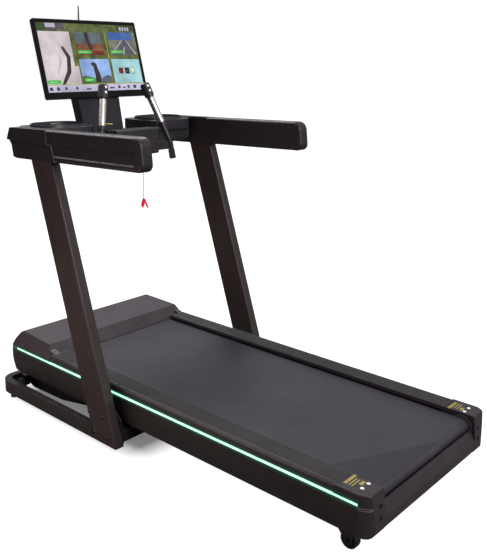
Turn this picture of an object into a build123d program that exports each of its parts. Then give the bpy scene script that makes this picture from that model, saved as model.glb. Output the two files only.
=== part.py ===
from build123d import *
import math
import os

os.makedirs("parts", exist_ok=True)

# Motorised treadmill with a powered incline and a touch screen.
# Millimetres. X to the user's right, Y forward towards the screen, Z up from the floor.
# The origin is on the floor, in the middle of the footprint.

SIDES = {"left": -1, "right": 1}

# ---------------------------------------------------------------- driving dimensions
# deck
DECK_HALF = 363.0  # outer face of the side skirts
DECK_REAR = -874.0
CAP_SPLIT_Y = -832.0  # where the skirts meet the rear end caps
RAIL_FRONT_Y = 597.0  # where the foot rails meet the motor hood
SKIRT_BOTTOM = 87.0
LIGHT_LOW = 180.0  # the light strip lies between these two heights
LIGHT_HIGH = 188.0
RAIL_TOP = 216.5
RAIL_INNER = 283.0
BELT_HALF = 279.0
BELT_TOP = 198.5
BELT_THICK = 2.4
HOOD_LIP = (627.6, 247.2)
HOOD_CREST = (812.0, 255.5)
HOOD_TOP_HALF = 335.0
NOSE = (862.0, 150.0)  # foremost point of the deck
NOSE_FOOT = (838.0, SKIRT_BOTTOM)
WALL = 3.0
FIT = 0.05  # running fit, radial
GAP = 0.3  # gap between curved faces of different moving bodies

# deck frame and drive
FRAME_INNER = 300.0
FRAME_TUBE = 30.0
FRAME_LOW = 100.0
FRAME_HIGH = 186.0
FRAME_REAR_Y = -850.0
FRAME_FRONT_Y = 830.0
BOARD_THICK = 18.0
FRONT_ROLLER_Y = 640.0
FRONT_ROLLER_R = 30.0
REAR_ROLLER_Y = -821.0
REAR_ROLLER_R = 24.0
AXLE_R = 7.0
MOTOR_Y = 752.0
MOTOR_Z = 170.0
MOTOR_R = 52.0
ROLLER_PULLEY_R = 36.0
MOTOR_PULLEY_R = 14.0
PULLEY_X = -292.0
PULLEY_WIDTH = 12.0

# wheels
REAR_WHEEL_Y = -777.0
REAR_WHEEL_X = 303.0
REAR_WHEEL_R = 28.0
REAR_WHEEL_WIDTH = 24.0
FRONT_WHEEL_Y = 816.0
FRONT_WHEEL_X = 360.0
FRONT_WHEEL_R = 25.0
FRONT_WHEEL_Z = 30.0
FRONT_WHEEL_WIDTH = 26.0
WHEEL_AXLE_R = 5.0

# base frame
BASE_HALF = 424.2
BASE_BOTTOM = 14.0
BASE_HEIGHT = 50.0
BASE_FRONT = 874.0
BASE_RAIL = 28.0
BASE_CORNER = 60.0
BASE_TUBE_HALF = 340.0
CROSS_Y = 170.0
CROSS_LOW = 20.0
CROSS_HIGH = 68.0

# uprights
UPRIGHT_THICK = 38.7
UPRIGHT_WIDTH = 124.4
UPRIGHT_FRONT_Y = 244.0  # front edge, carried down to the floor
LEAN = 0.329  # forward shift per unit of height
UPRIGHT_BOLT_ROWS = {42.0: (172.0, 246.0), 114.0: (194.0, 271.0)}

# handrails
HANDRAIL_OUTER = 431.7
HANDRAIL_THICK = 51.4
HANDRAIL_REAR = -42.0
COVER_NOSE_Y = 718.0
BAND_LOW = 1063.0  # lower edge of the proud upper band
BAND_PROUD = 5.0
SEAM_REAR = 417.0  # where the front cover's lower part ends at the handrail's underside

# incline lift
LIFT_PIVOT = (822.0, 42.0)
LIFT_PAD = (300.0, 82.0)
LIFT_PAD_R = 13.0
LIFT_ARM_X = 315.0
CRANK = 50.0
CRANK_BACK_ANGLE = 9.5
CRANK_PIN_R = 5.0

# console
CONSOLE_LOW = 1010.0
CONSOLE_TOP = 1066.0
TRAY_TOP = 1108.0
TRAY_INNER = 145.0
TRAY_OUTER = 370.0
TRAY_REAR = 544.0
TRAY_FRONT = 740.0
BLOCK_HALF = 109.0
BLOCK_REAR = 466.0
BLOCK_LOW = 985.0
NECK_HALF = 97.0  # at the foot
NECK_SPREAD = 0.06  # extra half width per unit of height
NECK_DEPTH = 60.0

# screen
SCREEN_FOOT = (0.0, 694.5, 1204.8)  # middle of the front face's lower edge
SCREEN_TILT = 15.9
SCREEN_WIDTH = 516.0
SCREEN_HEIGHT = 320.0
SCREEN_THICK = 17.0
DISPLAY_WIDTH = 492.0
DISPLAY_HEIGHT = 279.0
DISPLAY_LOW = 25.5
ANTENNA_X = -18.0

# grip handles
GRIP_TOP = (104.0, 548.0, 1262.0)
GRIP_BEND = (178.0, 477.0, 1028.0)
GRIP_END = (191.0, 474.0, 957.0)
GRIP_TUBE_R = 12.0
SLEEVE_R = 14.0
SLEEVE_LENGTH = 108.0
COLLAR_LENGTH = 15.0
TOP_COLLAR_LENGTH = 5.0
FERRULE_R = 13.5
FERRULE_LENGTH = 34.0
HEAD_LENGTH = 56.0
HEAD_R = 19.5
BUTTON_R = 5.6
BUTTON_PROUD = 1.4

# safety key and lanyard
KEY = (9.0, BLOCK_REAR, 1022.0)
CORD_R = 1.3
CORD_ROUTE = [(9.0, 459.0, 1006.0), (9.0, 452.0, 990.0), (9.0, 452.0, 812.0)]


def handrail_top(y):
    """Height of the handrail's upper line at y."""
    return 1125.9 - 0.025 * y


def handrail_low(y):
    """Height of the handrail's lower line at y."""
    return 1014.6 - 0.028 * y


def upright_front(z):
    """The upright's front edge at height z."""
    return UPRIGHT_FRONT_Y + LEAN * z


def upright_rear(z):
    """The upright's rear edge at height z."""
    return upright_front(z) - UPRIGHT_WIDTH


def meets_handrail(edge_y0):
    """Point where a leaning edge that starts at edge_y0 on the floor meets the handrail's lower line."""
    z = (handrail_low(0) - 0.028 * edge_y0) / (1 + 0.028 * LEAN)
    return (edge_y0 + LEAN * z, z)


def loop_outline(y1, z1, r1, y2, z2, r2):
    """The outline of a band drawn tight round two circles, in the YZ plane."""
    with BuildSketch(Plane.YZ) as outline:
        with BuildLine():
            CenterArc((y1, z1), r1, 0, 360)
            CenterArc((y2, z2), r2, 0, 360)
        make_hull()
    return outline.sketch


def across(x):
    """A plane at x whose normal is +X: what is drawn on it is (y, z)."""
    return Plane.YZ.offset(x)


def mirrored(point, side):
    """A point of the right handle, or its mirror image on the left."""
    return Vector(side * point[0], point[1], point[2])


def grip_plane(side, along):
    """A plane across the handle, this far above its bend: z up the handle, x towards the user."""
    bend = mirrored(GRIP_BEND, side)
    axis = (mirrored(GRIP_TOP, side) - bend).normalized()
    towards_user = Vector(0, -1, 0)
    towards_user = (towards_user - axis * towards_user.dot(axis)).normalized()
    return Plane(origin=bend + axis * along, x_dir=towards_user, z_dir=axis)


# ---------------------------------------------------------------- base frame
with BuildPart() as base_side_rails:
    for inset in (0.0, WALL):
        with BuildSketch(Plane.XY.offset(BASE_BOTTOM + inset)):
            with Locations((0, BASE_FRONT / 2)):
                RectangleRounded(2 * (BASE_HALF - inset), BASE_FRONT - 2 * inset, BASE_CORNER - inset)
                RectangleRounded(
                    2 * (BASE_HALF - BASE_RAIL + inset),
                    BASE_FRONT - 2 * BASE_RAIL + 2 * inset,
                    BASE_CORNER - BASE_RAIL + inset,
                    mode=Mode.SUBTRACT,
                )
                Rectangle(2 * BASE_TUBE_HALF, 2 * BASE_FRONT, mode=Mode.SUBTRACT)
            with Locations((0, 0)):
                Rectangle(4 * BASE_HALF, 300, mode=Mode.SUBTRACT)
        extrude(amount=BASE_HEIGHT - 2 * inset, mode=Mode.SUBTRACT if inset else Mode.ADD)
    upright_face = Plane(origin=(0, UPRIGHT_FRONT_Y, 0), x_dir=(1, 0, 0), z_dir=(0, 1, -LEAN))
    split(bisect_by=upright_face, keep=Keep.TOP)
base_side_rails.part.label = "base_side_rails"
export_step(base_side_rails.part, "parts/base_side_rails.step")

LUG_X = 326.0
LUG_THICK = BASE_TUBE_HALF - LUG_X
with BuildPart() as base_cross_tubes:
    # front tube
    with BuildSketch(across(-BASE_TUBE_HALF)):
        with Locations((BASE_FRONT - BASE_RAIL / 2, BASE_BOTTOM + BASE_HEIGHT / 2)):
            Rectangle(BASE_RAIL, BASE_HEIGHT)
            Rectangle(BASE_RAIL - 2 * WALL, BASE_HEIGHT - 2 * WALL, mode=Mode.SUBTRACT)
    extrude(amount=2 * BASE_TUBE_HALF)
    # rear tube between the uprights
    with BuildSketch(across(-BASE_HALF + UPRIGHT_THICK + 6)):
        with Locations((CROSS_Y, (CROSS_LOW + CROSS_HIGH) / 2)):
            Rectangle(60, CROSS_HIGH - CROSS_LOW)
            Rectangle(60 - 2 * WALL, CROSS_HIGH - CROSS_LOW - 2 * WALL, mode=Mode.SUBTRACT)
    extrude(amount=2 * (BASE_HALF - UPRIGHT_THICK - 6))
    for side in SIDES.values():
        # bracket plate that the upright is screwed to
        with BuildSketch(across(side * (BASE_HALF - UPRIGHT_THICK - 3) - 3)):
            with BuildLine():
                Polyline((140, CROSS_LOW), (262, CROSS_LOW), (290, 132), (175, 132), (140, 100), close=True)
            make_face()
            for row_z, row_ys in UPRIGHT_BOLT_ROWS.items():
                with Locations([(row_y, row_z) for row_y in row_ys]):
                    Circle(4.5, mode=Mode.SUBTRACT)
        extrude(amount=6)
        # lug, lift pin and wheel axle
        with BuildSketch(across(side * (LUG_X + LUG_THICK / 2) - LUG_THICK / 2)):
            with BuildLine():
                Polyline(
                    (BASE_FRONT - BASE_RAIL, 60), (812, 60), (802, 50), (802, 22), (846, 20), close=True
                )
            make_face()
        extrude(amount=LUG_THICK)
        with Locations(Location((side * (LUG_X - 10), *LIFT_PIVOT), (0, 90, 0))):
            Cylinder(6, 20)
        with Locations(Location((side * 359, FRONT_WHEEL_Y, FRONT_WHEEL_Z), (0, 90, 0))):
            Cylinder(WHEEL_AXLE_R, 38)
        with Locations(Location((side * 377, FRONT_WHEEL_Y, FRONT_WHEEL_Z), (0, 90, 0))):
            Cylinder(9, 4)
base_cross_tubes.part.label = "base_cross_tubes"
export_step(base_cross_tubes.part, "parts/base_cross_tubes.step")

with BuildPart() as base_feet:
    for side in SIDES.values():
        for foot_x, foot_y, foot_h in ((366, CROSS_Y, CROSS_LOW), (410, 790, BASE_BOTTOM)):
            with BuildSketch(Plane.XY):
                with Locations((side * foot_x, foot_y)):
                    Circle(13)
            extrude(amount=foot_h, taper=4)
base_feet.part.label = "base_feet"
export_step(base_feet.part, "parts/base_feet.step")

# ---------------------------------------------------------------- uprights
for name, side in SIDES.items():
    top_front = meets_handrail(UPRIGHT_FRONT_Y)
    top_rear = meets_handrail(UPRIGHT_FRONT_Y - UPRIGHT_WIDTH)
    middle_x = side * (BASE_HALF - UPRIGHT_THICK / 2)
    with BuildPart() as upright:
        with BuildSketch(across(middle_x)):
            with BuildLine():
                Polyline(
                    (upright_rear(BASE_BOTTOM), BASE_BOTTOM),
                    (upright_front(BASE_BOTTOM), BASE_BOTTOM),
                    top_front,
                    top_rear,
                    close=True,
                )
            make_face()
        extrude(amount=UPRIGHT_THICK / 2, both=True)
        fillet(upright.edges().filter_by(Axis((0, 0, 0), (0, LEAN, 1))), 5)
        # the tube's inside, open at the top and closed at the foot
        with BuildSketch(across(middle_x)):
            with BuildLine():
                Polyline(
                    (upright_rear(20) + WALL, 20),
                    (upright_front(20) - WALL, 20),
                    (top_front[0] - WALL + 5, top_front[1] + 15),
                    (top_rear[0] + WALL + 5, top_rear[1] + 15),
                    close=True,
                )
            make_face()
        extrude(amount=UPRIGHT_THICK / 2 - WALL, both=True, mode=Mode.SUBTRACT)
        for row_z, row_ys in UPRIGHT_BOLT_ROWS.items():
            for row_y in row_ys:
                with Locations(Location((middle_x, row_y, row_z), (0, 90, 0))):
                    Cylinder(4.5, 2 * UPRIGHT_THICK, mode=Mode.SUBTRACT)
    upright.part.label = f"{name}_upright"
    export_step(upright.part, f"parts/{name}_upright.step")

# button-head screws, four in each foot
BOLT_END_X = BASE_HALF - UPRIGHT_THICK - 6
with BuildPart() as upright_bolts:
    for side in SIDES.values():
        for row_z, row_ys in UPRIGHT_BOLT_ROWS.items():
            for row_y in row_ys:
                with BuildSketch(across(side * BASE_HALF)):
                    with Locations((row_y, row_z)):
                        Circle(7)
                extrude(amount=side * 2.6, taper=25)
                with BuildSketch(across(side * BASE_HALF)):
                    with Locations((row_y, row_z)):
                        Circle(4)
                extrude(amount=-side * (BASE_HALF - BOLT_END_X))
                with BuildSketch(across(side * (BASE_HALF + 2.6))):
                    with Locations((row_y, row_z)):
                        RegularPolygon(2.6, 6)
                extrude(amount=-side * 1.8, mode=Mode.SUBTRACT)
upright_bolts.part.label = "upright_bolts"
export_step(upright_bolts.part, "parts/upright_bolts.step")

# ---------------------------------------------------------------- handrails
# the stepped seam between a handrail and its front cover, from the underside to the top
SEAM_LOW = (SEAM_REAR, handrail_low(SEAM_REAR))
SEAM_STEP_REAR = (SEAM_REAR + 17, BAND_LOW)
SEAM_STEP_FRONT = (SEAM_REAR + 43, BAND_LOW)
SEAM_HIGH = (SEAM_REAR + 50, handrail_top(SEAM_REAR + 50))
PANEL_REAR = -16.0
for name, side in SIDES.items():
    outer_x = side * HANDRAIL_OUTER
    with BuildPart() as handrail:
        with BuildSketch(across(outer_x)):
            with BuildLine():
                FilletPolyline(
                    SEAM_LOW,
                    (HANDRAIL_REAR - 7, handrail_low(HANDRAIL_REAR)),
                    (HANDRAIL_REAR + 5, handrail_top(HANDRAIL_REAR)),
                    SEAM_HIGH,
                    radius=[24, 34],
                )
                Polyline(SEAM_HIGH, SEAM_STEP_FRONT, SEAM_STEP_REAR, SEAM_LOW)
            make_face()
        extrude(amount=-side * HANDRAIL_THICK)
        long_edges = handrail.edges().filter_by(lambda e: abs(e.tangent_at(0.5).X) < 0.1)
        fillet(long_edges.filter_by(lambda e: e.center().Y < SEAM_LOW[0] - 5), 9)
        # recessed panel on the outer face, open at the seam and round at the rear
        with BuildSketch(across(outer_x - side * BAND_PROUD)):
            with BuildLine():
                FilletPolyline(
                    (450, 1026), (PANEL_REAR, 1037), (PANEL_REAR, 1073), (450, BAND_LOW), radius=15
                )
                Line((450, BAND_LOW), (450, 1026))
            make_face()
        extrude(amount=side * (BAND_PROUD + 3), taper=-45, mode=Mode.SUBTRACT)
    handrail.part.label = f"{name}_handrail"
    export_step(handrail.part, f"parts/{name}_handrail.step")

with BuildPart() as handrail_front_covers:
    for side in SIDES.values():
        inner_x = side * (HANDRAIL_OUTER - HANDRAIL_THICK)
        # proud upper band with the pointed nose
        with BuildSketch(across(inner_x)):
            with BuildLine():
                Polyline(
                    SEAM_STEP_FRONT,
                    (COVER_NOSE_Y, BAND_LOW),
                    (697, handrail_top(697)),
                    SEAM_HIGH,
                    close=True,
                )
            make_face()
        extrude(amount=side * HANDRAIL_THICK)
        # lower part, flush with the upright
        with BuildSketch(across(inner_x)):
            with BuildLine():
                Polyline(
                    SEAM_LOW,
                    (664, handrail_low(664)),
                    (687, 1001),
                    (696, 1046),
                    (712, BAND_LOW),
                    SEAM_STEP_REAR,
                    close=True,
                )
            make_face()
        extrude(amount=side * (BASE_HALF - abs(inner_x)))
    front_edges = handrail_front_covers.edges().filter_by(lambda e: e.center().Y > 705)
    chamfer(front_edges.filter_by(lambda e: abs(e.tangent_at(0.5).X) < 0.1), 2)
handrail_front_covers.part.label = "handrail_front_covers"
export_step(handrail_front_covers.part, "parts/handrail_front_covers.step")

# ---------------------------------------------------------------- console
COVER_INNER = HANDRAIL_OUTER - HANDRAIL_THICK
GRIP_LENGTH = (mirrored(GRIP_TOP, 1) - mirrored(GRIP_BEND, 1)).length
HEAD_START = GRIP_LENGTH - HEAD_LENGTH
BLOCK_FRONT = 548.0
BLOCK_TOP = 1090.0
REST_LOW = 1074.0  # the phone rest lies on the block from here up
PHONE_SLOT_Y = 515.0
SHELF_FRONT = 740.0
SHELF_THICK = 14.0
with BuildPart() as console_body:
    # beam from handrail to handrail
    with BuildSketch(across(-COVER_INNER)):
        with BuildLine():
            Polyline(
                (569, CONSOLE_LOW + 14),
                (575, CONSOLE_LOW),
                (680, CONSOLE_LOW),
                (692, CONSOLE_LOW + 20),
                (700, CONSOLE_TOP),
                (569, CONSOLE_TOP),
                close=True,
            )
        make_face()
    extrude(amount=2 * COVER_INNER)
    # centre block on the user's side of the screen
    with BuildSketch(across(-BLOCK_HALF)):
        with BuildLine():
            Polyline(
                (BLOCK_REAR, BLOCK_LOW + 8),
                (BLOCK_REAR + 8, BLOCK_LOW),
                (655, BLOCK_LOW),
                (672, CONSOLE_LOW),
                (672, CONSOLE_TOP),
                (BLOCK_FRONT + 4, CONSOLE_TOP),
                (BLOCK_FRONT + 2.4, REST_LOW),
                (BLOCK_REAR, REST_LOW),
                close=True,
            )
        make_face()
    extrude(amount=2 * BLOCK_HALF)
    fillet(console_body.edges().filter_by(Axis.Z).filter_by(lambda e: e.center().Y < 500), 5)
    # arms that carry the grip handles
    for side in SIDES.values():
        with BuildSketch(Plane.XY.offset(996)):
            with BuildLine():
                FilletPolyline(
                    (side * (BLOCK_HALF - 1), 474),
                    (side * 190, 474),
                    (side * 190, 496),
                    (side * 160, 502),
                    (side * (BLOCK_HALF + 14), 530),
                    (side * (BLOCK_HALF - 1), 530),
                    radius=[4, 6, 20, 6],
                )
                Line((side * (BLOCK_HALF - 1), 530), (side * (BLOCK_HALF - 1), 474))
            make_face()
        extrude(amount=34)
        # the tube passes through the end of its arm
        with BuildLine():
            FilletPolyline(
                mirrored(GRIP_END, side),
                mirrored(GRIP_BEND, side),
                grip_plane(side, HEAD_START + 12).origin,
                radius=120,
            )
        tube_start = mirrored(GRIP_END, side)
        with BuildSketch(Plane(origin=tube_start, z_dir=mirrored(GRIP_BEND, side) - tube_start)):
            Circle(GRIP_TUBE_R)
        sweep(mode=Mode.SUBTRACT)
    # shelf between the trays that the neck stands on
    with BuildSketch(Plane.XY.offset(CONSOLE_TOP)):
        with Locations((0, (BLOCK_FRONT + SHELF_FRONT) / 2)):
            RectangleRounded(2 * TRAY_INNER - 0.6, SHELF_FRONT - BLOCK_FRONT, 10)
    extrude(amount=-SHELF_THICK)
    # recess for the key socket
    with BuildSketch(Plane.XZ.offset(-BLOCK_REAR)):
        with Locations((KEY[0], KEY[2])):
            RectangleRounded(40, 30, 6)
    extrude(amount=-6, mode=Mode.SUBTRACT)
console_body.part.label = "console_body"
export_step(console_body.part, "parts/console_body.step")

# top of the centre block, with a shallow slot for a phone
with BuildPart() as phone_rest:
    with BuildSketch(across(-BLOCK_HALF)):
        with BuildLine():
            Polyline(
                (BLOCK_REAR, REST_LOW),
                (BLOCK_FRONT + 2.4, REST_LOW),
                (BLOCK_FRONT, BLOCK_TOP - 4),
                (BLOCK_REAR + 6, BLOCK_TOP),
                (BLOCK_REAR, BLOCK_TOP - 5),
                close=True,
            )
        make_face()
    extrude(amount=2 * BLOCK_HALF)
    fillet(phone_rest.edges().filter_by(Axis.Z).filter_by(lambda e: e.center().Y < 500), 5)
    with BuildSketch(Plane.XY.offset(REST_LOW)):
        with Locations((0, PHONE_SLOT_Y)):
            Rectangle(150, 16)
    extrude(amount=BLOCK_TOP - REST_LOW, mode=Mode.SUBTRACT)
phone_rest.part.label = "phone_rest"
export_step(phone_rest.part, "parts/phone_rest.step")

DISH_Y = 633.0
DISH_HALF = (109.0, 85.0)
DISH_CORNER = 83.0
DISH_WALL = 9.0
RIM_HEIGHT = 10.0
with BuildPart() as console_trays:
    for side in SIDES.values():
        tray_middle = side * (TRAY_INNER + TRAY_OUTER) / 2
        with BuildSketch(Plane.XY.offset(CONSOLE_TOP)):
            with Locations((tray_middle, (TRAY_REAR + TRAY_FRONT) / 2)):
                RectangleRounded(TRAY_OUTER - TRAY_INNER, TRAY_FRONT - TRAY_REAR, 28)
        extrude(amount=TRAY_TOP - CONSOLE_TOP)
    fillet(console_trays.edges().group_by(Axis.Z)[-1], 3)
    # oval dish with a raised rim
    for side in SIDES.values():
        tray_middle = side * (TRAY_INNER + TRAY_OUTER) / 2
        with BuildSketch(Plane.XY.offset(TRAY_TOP)):
            with Locations((tray_middle, DISH_Y)):
                RectangleRounded(2 * DISH_HALF[0], 2 * DISH_HALF[1], DISH_CORNER)
        extrude(amount=RIM_HEIGHT, taper=12)
        with BuildSketch(Plane.XY.offset(CONSOLE_TOP + 6)):
            with Locations((tray_middle, DISH_Y)):
                RectangleRounded(
                    2 * (DISH_HALF[0] - DISH_WALL), 2 * (DISH_HALF[1] - DISH_WALL), DISH_CORNER - DISH_WALL
                )
        extrude(amount=60, taper=-5, mode=Mode.SUBTRACT)
console_trays.part.label = "console_trays"
export_step(console_trays.part, "parts/console_trays.step")

# ---------------------------------------------------------------- screen
SCREEN_SIN = math.sin(math.radians(SCREEN_TILT))
SCREEN_COS = math.cos(math.radians(SCREEN_TILT))
SCREEN_LEAN = SCREEN_SIN / SCREEN_COS
NECK_TOP = 1330.0


def screen_plane(back):
    """The screen's front plane moved back by this much: x across, y up the screen, z to the user."""
    front = Plane(origin=SCREEN_FOOT, x_dir=(1, 0, 0), z_dir=(0, -SCREEN_COS, SCREEN_SIN))
    return front.offset(-back)


def neck_front(z):
    """The neck's user-side face, parallel to the screen and flush with its rear housing."""
    return SCREEN_FOOT[1] + (SCREEN_THICK / SCREEN_COS) + (z - SCREEN_FOOT[2]) * SCREEN_LEAN


NECK_TOP_HALF = NECK_HALF + NECK_SPREAD * (NECK_TOP - CONSOLE_TOP)
with BuildPart() as screen_neck:
    with BuildSketch(across(-NECK_TOP_HALF)):
        with BuildLine():
            Polyline(
                (neck_front(CONSOLE_TOP), CONSOLE_TOP),
                (neck_front(CONSOLE_TOP) + NECK_DEPTH, CONSOLE_TOP),
                (neck_front(NECK_TOP) + NECK_DEPTH - 14, NECK_TOP),
                (neck_front(NECK_TOP), NECK_TOP),
                close=True,
            )
        make_face()
    extrude(amount=2 * NECK_TOP_HALF)
    with BuildSketch(Plane.XZ.offset(-850)):
        with BuildLine():
            Polyline(
                (-NECK_HALF, CONSOLE_TOP),
                (NECK_HALF, CONSOLE_TOP),
                (NECK_TOP_HALF, NECK_TOP),
                (-NECK_TOP_HALF, NECK_TOP),
                close=True,
            )
        make_face()
    extrude(amount=250, mode=Mode.INTERSECT)
    upright_edges = screen_neck.edges().filter_by(lambda e: abs(e.tangent_at(0.5).Z) > 0.5)
    fillet(upright_edges.group_by(Axis.Y)[-1], 8)
screen_neck.part.label = "screen_neck"
export_step(screen_neck.part, "parts/screen_neck.step")

BEZEL_DEPTH = 5.0
DISPLAY_MIDDLE = DISPLAY_LOW + DISPLAY_HEIGHT / 2
with BuildPart() as screen_bezel:
    with BuildSketch(screen_plane(BEZEL_DEPTH)):
        with Locations((0, SCREEN_HEIGHT / 2)):
            RectangleRounded(SCREEN_WIDTH, SCREEN_HEIGHT, 7)
        with Locations((0, DISPLAY_MIDDLE)):
            Rectangle(DISPLAY_WIDTH, DISPLAY_HEIGHT, mode=Mode.SUBTRACT)
    extrude(amount=BEZEL_DEPTH)
    towards_user = Axis((0, 0, 0), (0, -SCREEN_COS, SCREEN_SIN))
    bezel_front = screen_bezel.faces().sort_by(towards_user)[-1]
    chamfer(bezel_front.outer_wire().edges(), 1)
screen_bezel.part.label = "screen_bezel"
export_step(screen_bezel.part, "parts/screen_bezel.step")

with BuildPart() as display_panel:
    with BuildSketch(screen_plane(BEZEL_DEPTH)):
        with Locations((0, DISPLAY_MIDDLE)):
            Rectangle(DISPLAY_WIDTH, DISPLAY_HEIGHT)
    extrude(amount=BEZEL_DEPTH - 1)
display_panel.part.label = "display_panel"
export_step(display_panel.part, "parts/display_panel.step")

HOUSING_HALF = 205.0
ANTENNA_PIVOT_Z = 1502.0
ANTENNA_PIVOT_Y = neck_front(ANTENNA_PIVOT_Z) + 9
with BuildPart() as screen_housing:
    with BuildSketch(screen_plane(SCREEN_THICK)):
        with Locations((0, SCREEN_HEIGHT / 2)):
            RectangleRounded(SCREEN_WIDTH, SCREEN_HEIGHT, 7)
    extrude(amount=SCREEN_THICK - BEZEL_DEPTH)
    # raised electronics cover on the back, above the neck
    with BuildSketch(screen_plane(SCREEN_THICK)):
        with Locations((0, 226)):
            RectangleRounded(2 * HOUSING_HALF, 132, 14)
    extrude(amount=-26, taper=24)
    with BuildSketch(screen_plane(SCREEN_THICK + 26)):
        with Locations([(0, 200 + 11 * row) for row in range(6)]):
            SlotOverall(220, 4)
    extrude(amount=5, mode=Mode.SUBTRACT)
    # ears of the antenna hinge
    with BuildSketch(across(ANTENNA_X - 9)):
        with BuildLine():
            Polyline(
                (neck_front(1490), 1490),
                (ANTENNA_PIVOT_Y + 6, 1494),
                (ANTENNA_PIVOT_Y + 6, 1510),
                (neck_front(1508), 1508),
                close=True,
            )
        make_face()
        with Locations((ANTENNA_PIVOT_Y, ANTENNA_PIVOT_Z)):
            Circle(2.05, mode=Mode.SUBTRACT)
    extrude(amount=18)
    # room between the ears for the antenna's foot
    with Locations((ANTENNA_X, ANTENNA_PIVOT_Y + 8, ANTENNA_PIVOT_Z + 2)):
        Box(9, 30, 40, mode=Mode.SUBTRACT)
screen_housing.part.label = "screen_housing"
export_step(screen_housing.part, "parts/screen_housing.step")

ANTENNA_TOP = 1570.0
with BuildPart() as antenna:
    with BuildSketch(Plane.XY.offset(ANTENNA_PIVOT_Z - 3)):
        with Locations((ANTENNA_X, ANTENNA_PIVOT_Y + 1)):
            Circle(3.6)
    extrude(amount=ANTENNA_TOP - ANTENNA_PIVOT_Z + 3, taper=1)
    fillet(antenna.faces().sort_by(Axis.Z)[-1].edges(), 1.6)
    with Locations(Location((ANTENNA_X, ANTENNA_PIVOT_Y, ANTENNA_PIVOT_Z), (0, 90, 0))):
        Cylinder(2, 17)
antenna.part.label = "antenna"
export_step(antenna.part, "parts/antenna.step")

# ---------------------------------------------------------------- grip handles
SLEEVE_START = HEAD_START - TOP_COLLAR_LENGTH - SLEEVE_LENGTH
BUTTON_ALONG = (HEAD_START + 22, HEAD_START + 43)
HEAD_FLAT = HEAD_R - 3.0
BUTTON_DEPTH = 6.0
BUTTON_TRAVEL = 1.0

with BuildPart() as grip_tubes:
    for side in SIDES.values():
        with BuildLine():
            FilletPolyline(
                mirrored(GRIP_END, side),
                mirrored(GRIP_BEND, side),
                grip_plane(side, HEAD_START + 12).origin,
                radius=120,
            )
        tube_start = mirrored(GRIP_END, side)
        with BuildSketch(Plane(origin=tube_start, z_dir=mirrored(GRIP_BEND, side) - tube_start)):
            Circle(GRIP_TUBE_R)
        sweep()
        # ferrule on the tube's lower end
        with BuildSketch(Plane(origin=tube_start, z_dir=mirrored(GRIP_BEND, side) - tube_start)):
            Circle(FERRULE_R)
        extrude(amount=FERRULE_LENGTH)
    for side in SIDES.values():
        with BuildSketch(grip_plane(side, SLEEVE_START - COLLAR_LENGTH)):
            Circle(SLEEVE_R + 1.5)
        extrude(amount=COLLAR_LENGTH)
        with BuildSketch(grip_plane(side, HEAD_START - TOP_COLLAR_LENGTH)):
            Circle(SLEEVE_R + 1.5)
        extrude(amount=TOP_COLLAR_LENGTH)
grip_tubes.part.label = "grip_tubes"
export_step(grip_tubes.part, "parts/grip_tubes.step")

with BuildPart() as grip_sleeves:
    for side in SIDES.values():
        with BuildSketch(grip_plane(side, SLEEVE_START)):
            Circle(SLEEVE_R)
            Circle(GRIP_TUBE_R, mode=Mode.SUBTRACT)
        extrude(amount=SLEEVE_LENGTH)
grip_sleeves.part.label = "grip_sleeves"
export_step(grip_sleeves.part, "parts/grip_sleeves.step")

with BuildPart() as grip_heads:
    for side in SIDES.values():
        with BuildSketch(grip_plane(side, HEAD_START)):
            Circle(HEAD_R)
        extrude(amount=HEAD_LENGTH)
        this_head = grip_heads.faces().filter_by(lambda f: f.center().X * side > 0)
        fillet(this_head.sort_by(Axis.Z)[-1].edges(), 8)
    for side in SIDES.values():
        across_head = grip_plane(side, HEAD_START)
        # flat that holds the two buttons
        with BuildSketch(across_head.offset(12)):
            with Locations((HEAD_FLAT + 10, 0)):
                Rectangle(20, 60)
        extrude(amount=HEAD_LENGTH, mode=Mode.SUBTRACT)
        # socket for the tube
        with BuildSketch(across_head):
            Circle(GRIP_TUBE_R)
        extrude(amount=12, mode=Mode.SUBTRACT)
        for along in BUTTON_ALONG:
            well_centre = grip_plane(side, along)
            well = Plane(
                origin=well_centre.origin + well_centre.x_dir * HEAD_FLAT, z_dir=well_centre.x_dir
            )
            with BuildSketch(well):
                Circle(BUTTON_R + GAP)
            extrude(amount=-(BUTTON_DEPTH + BUTTON_TRAVEL + 0.5), mode=Mode.SUBTRACT)
grip_heads.part.label = "grip_heads"
export_step(grip_heads.part, "parts/grip_heads.step")

for name, side in SIDES.items():
    for place, along in zip(("lower", "upper"), BUTTON_ALONG):
        well_centre = grip_plane(side, along)
        face = Plane(
            origin=well_centre.origin + well_centre.x_dir * (HEAD_FLAT + BUTTON_PROUD),
            z_dir=well_centre.x_dir,
        )
        with BuildPart() as grip_button:
            with BuildSketch(face):
                Circle(BUTTON_R)
            extrude(amount=-(BUTTON_DEPTH + BUTTON_PROUD))
            fillet(grip_button.faces().sort_by(Axis((0, 0, 0), face.z_dir))[-1].edges(), 0.8)
        grip_button.part.label = f"{name}_button_{place}"
        export_step(grip_button.part, f"parts/{name}_button_{place}.step")

# ---------------------------------------------------------------- safety key and lanyard
with BuildPart() as key_socket:
    with BuildSketch(Plane.XZ.offset(-(BLOCK_REAR + 6))):
        with Locations((KEY[0], KEY[2])):
            RectangleRounded(40, 30, 6)
    extrude(amount=6)
    with BuildSketch(Plane.XZ.offset(-BLOCK_REAR)):
        with Locations((KEY[0], KEY[2])):
            RectangleRounded(24.6, 14.6, 4)
    extrude(amount=-4, mode=Mode.SUBTRACT)
key_socket.part.label = "key_socket"
export_step(key_socket.part, "parts/key_socket.step")

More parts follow.
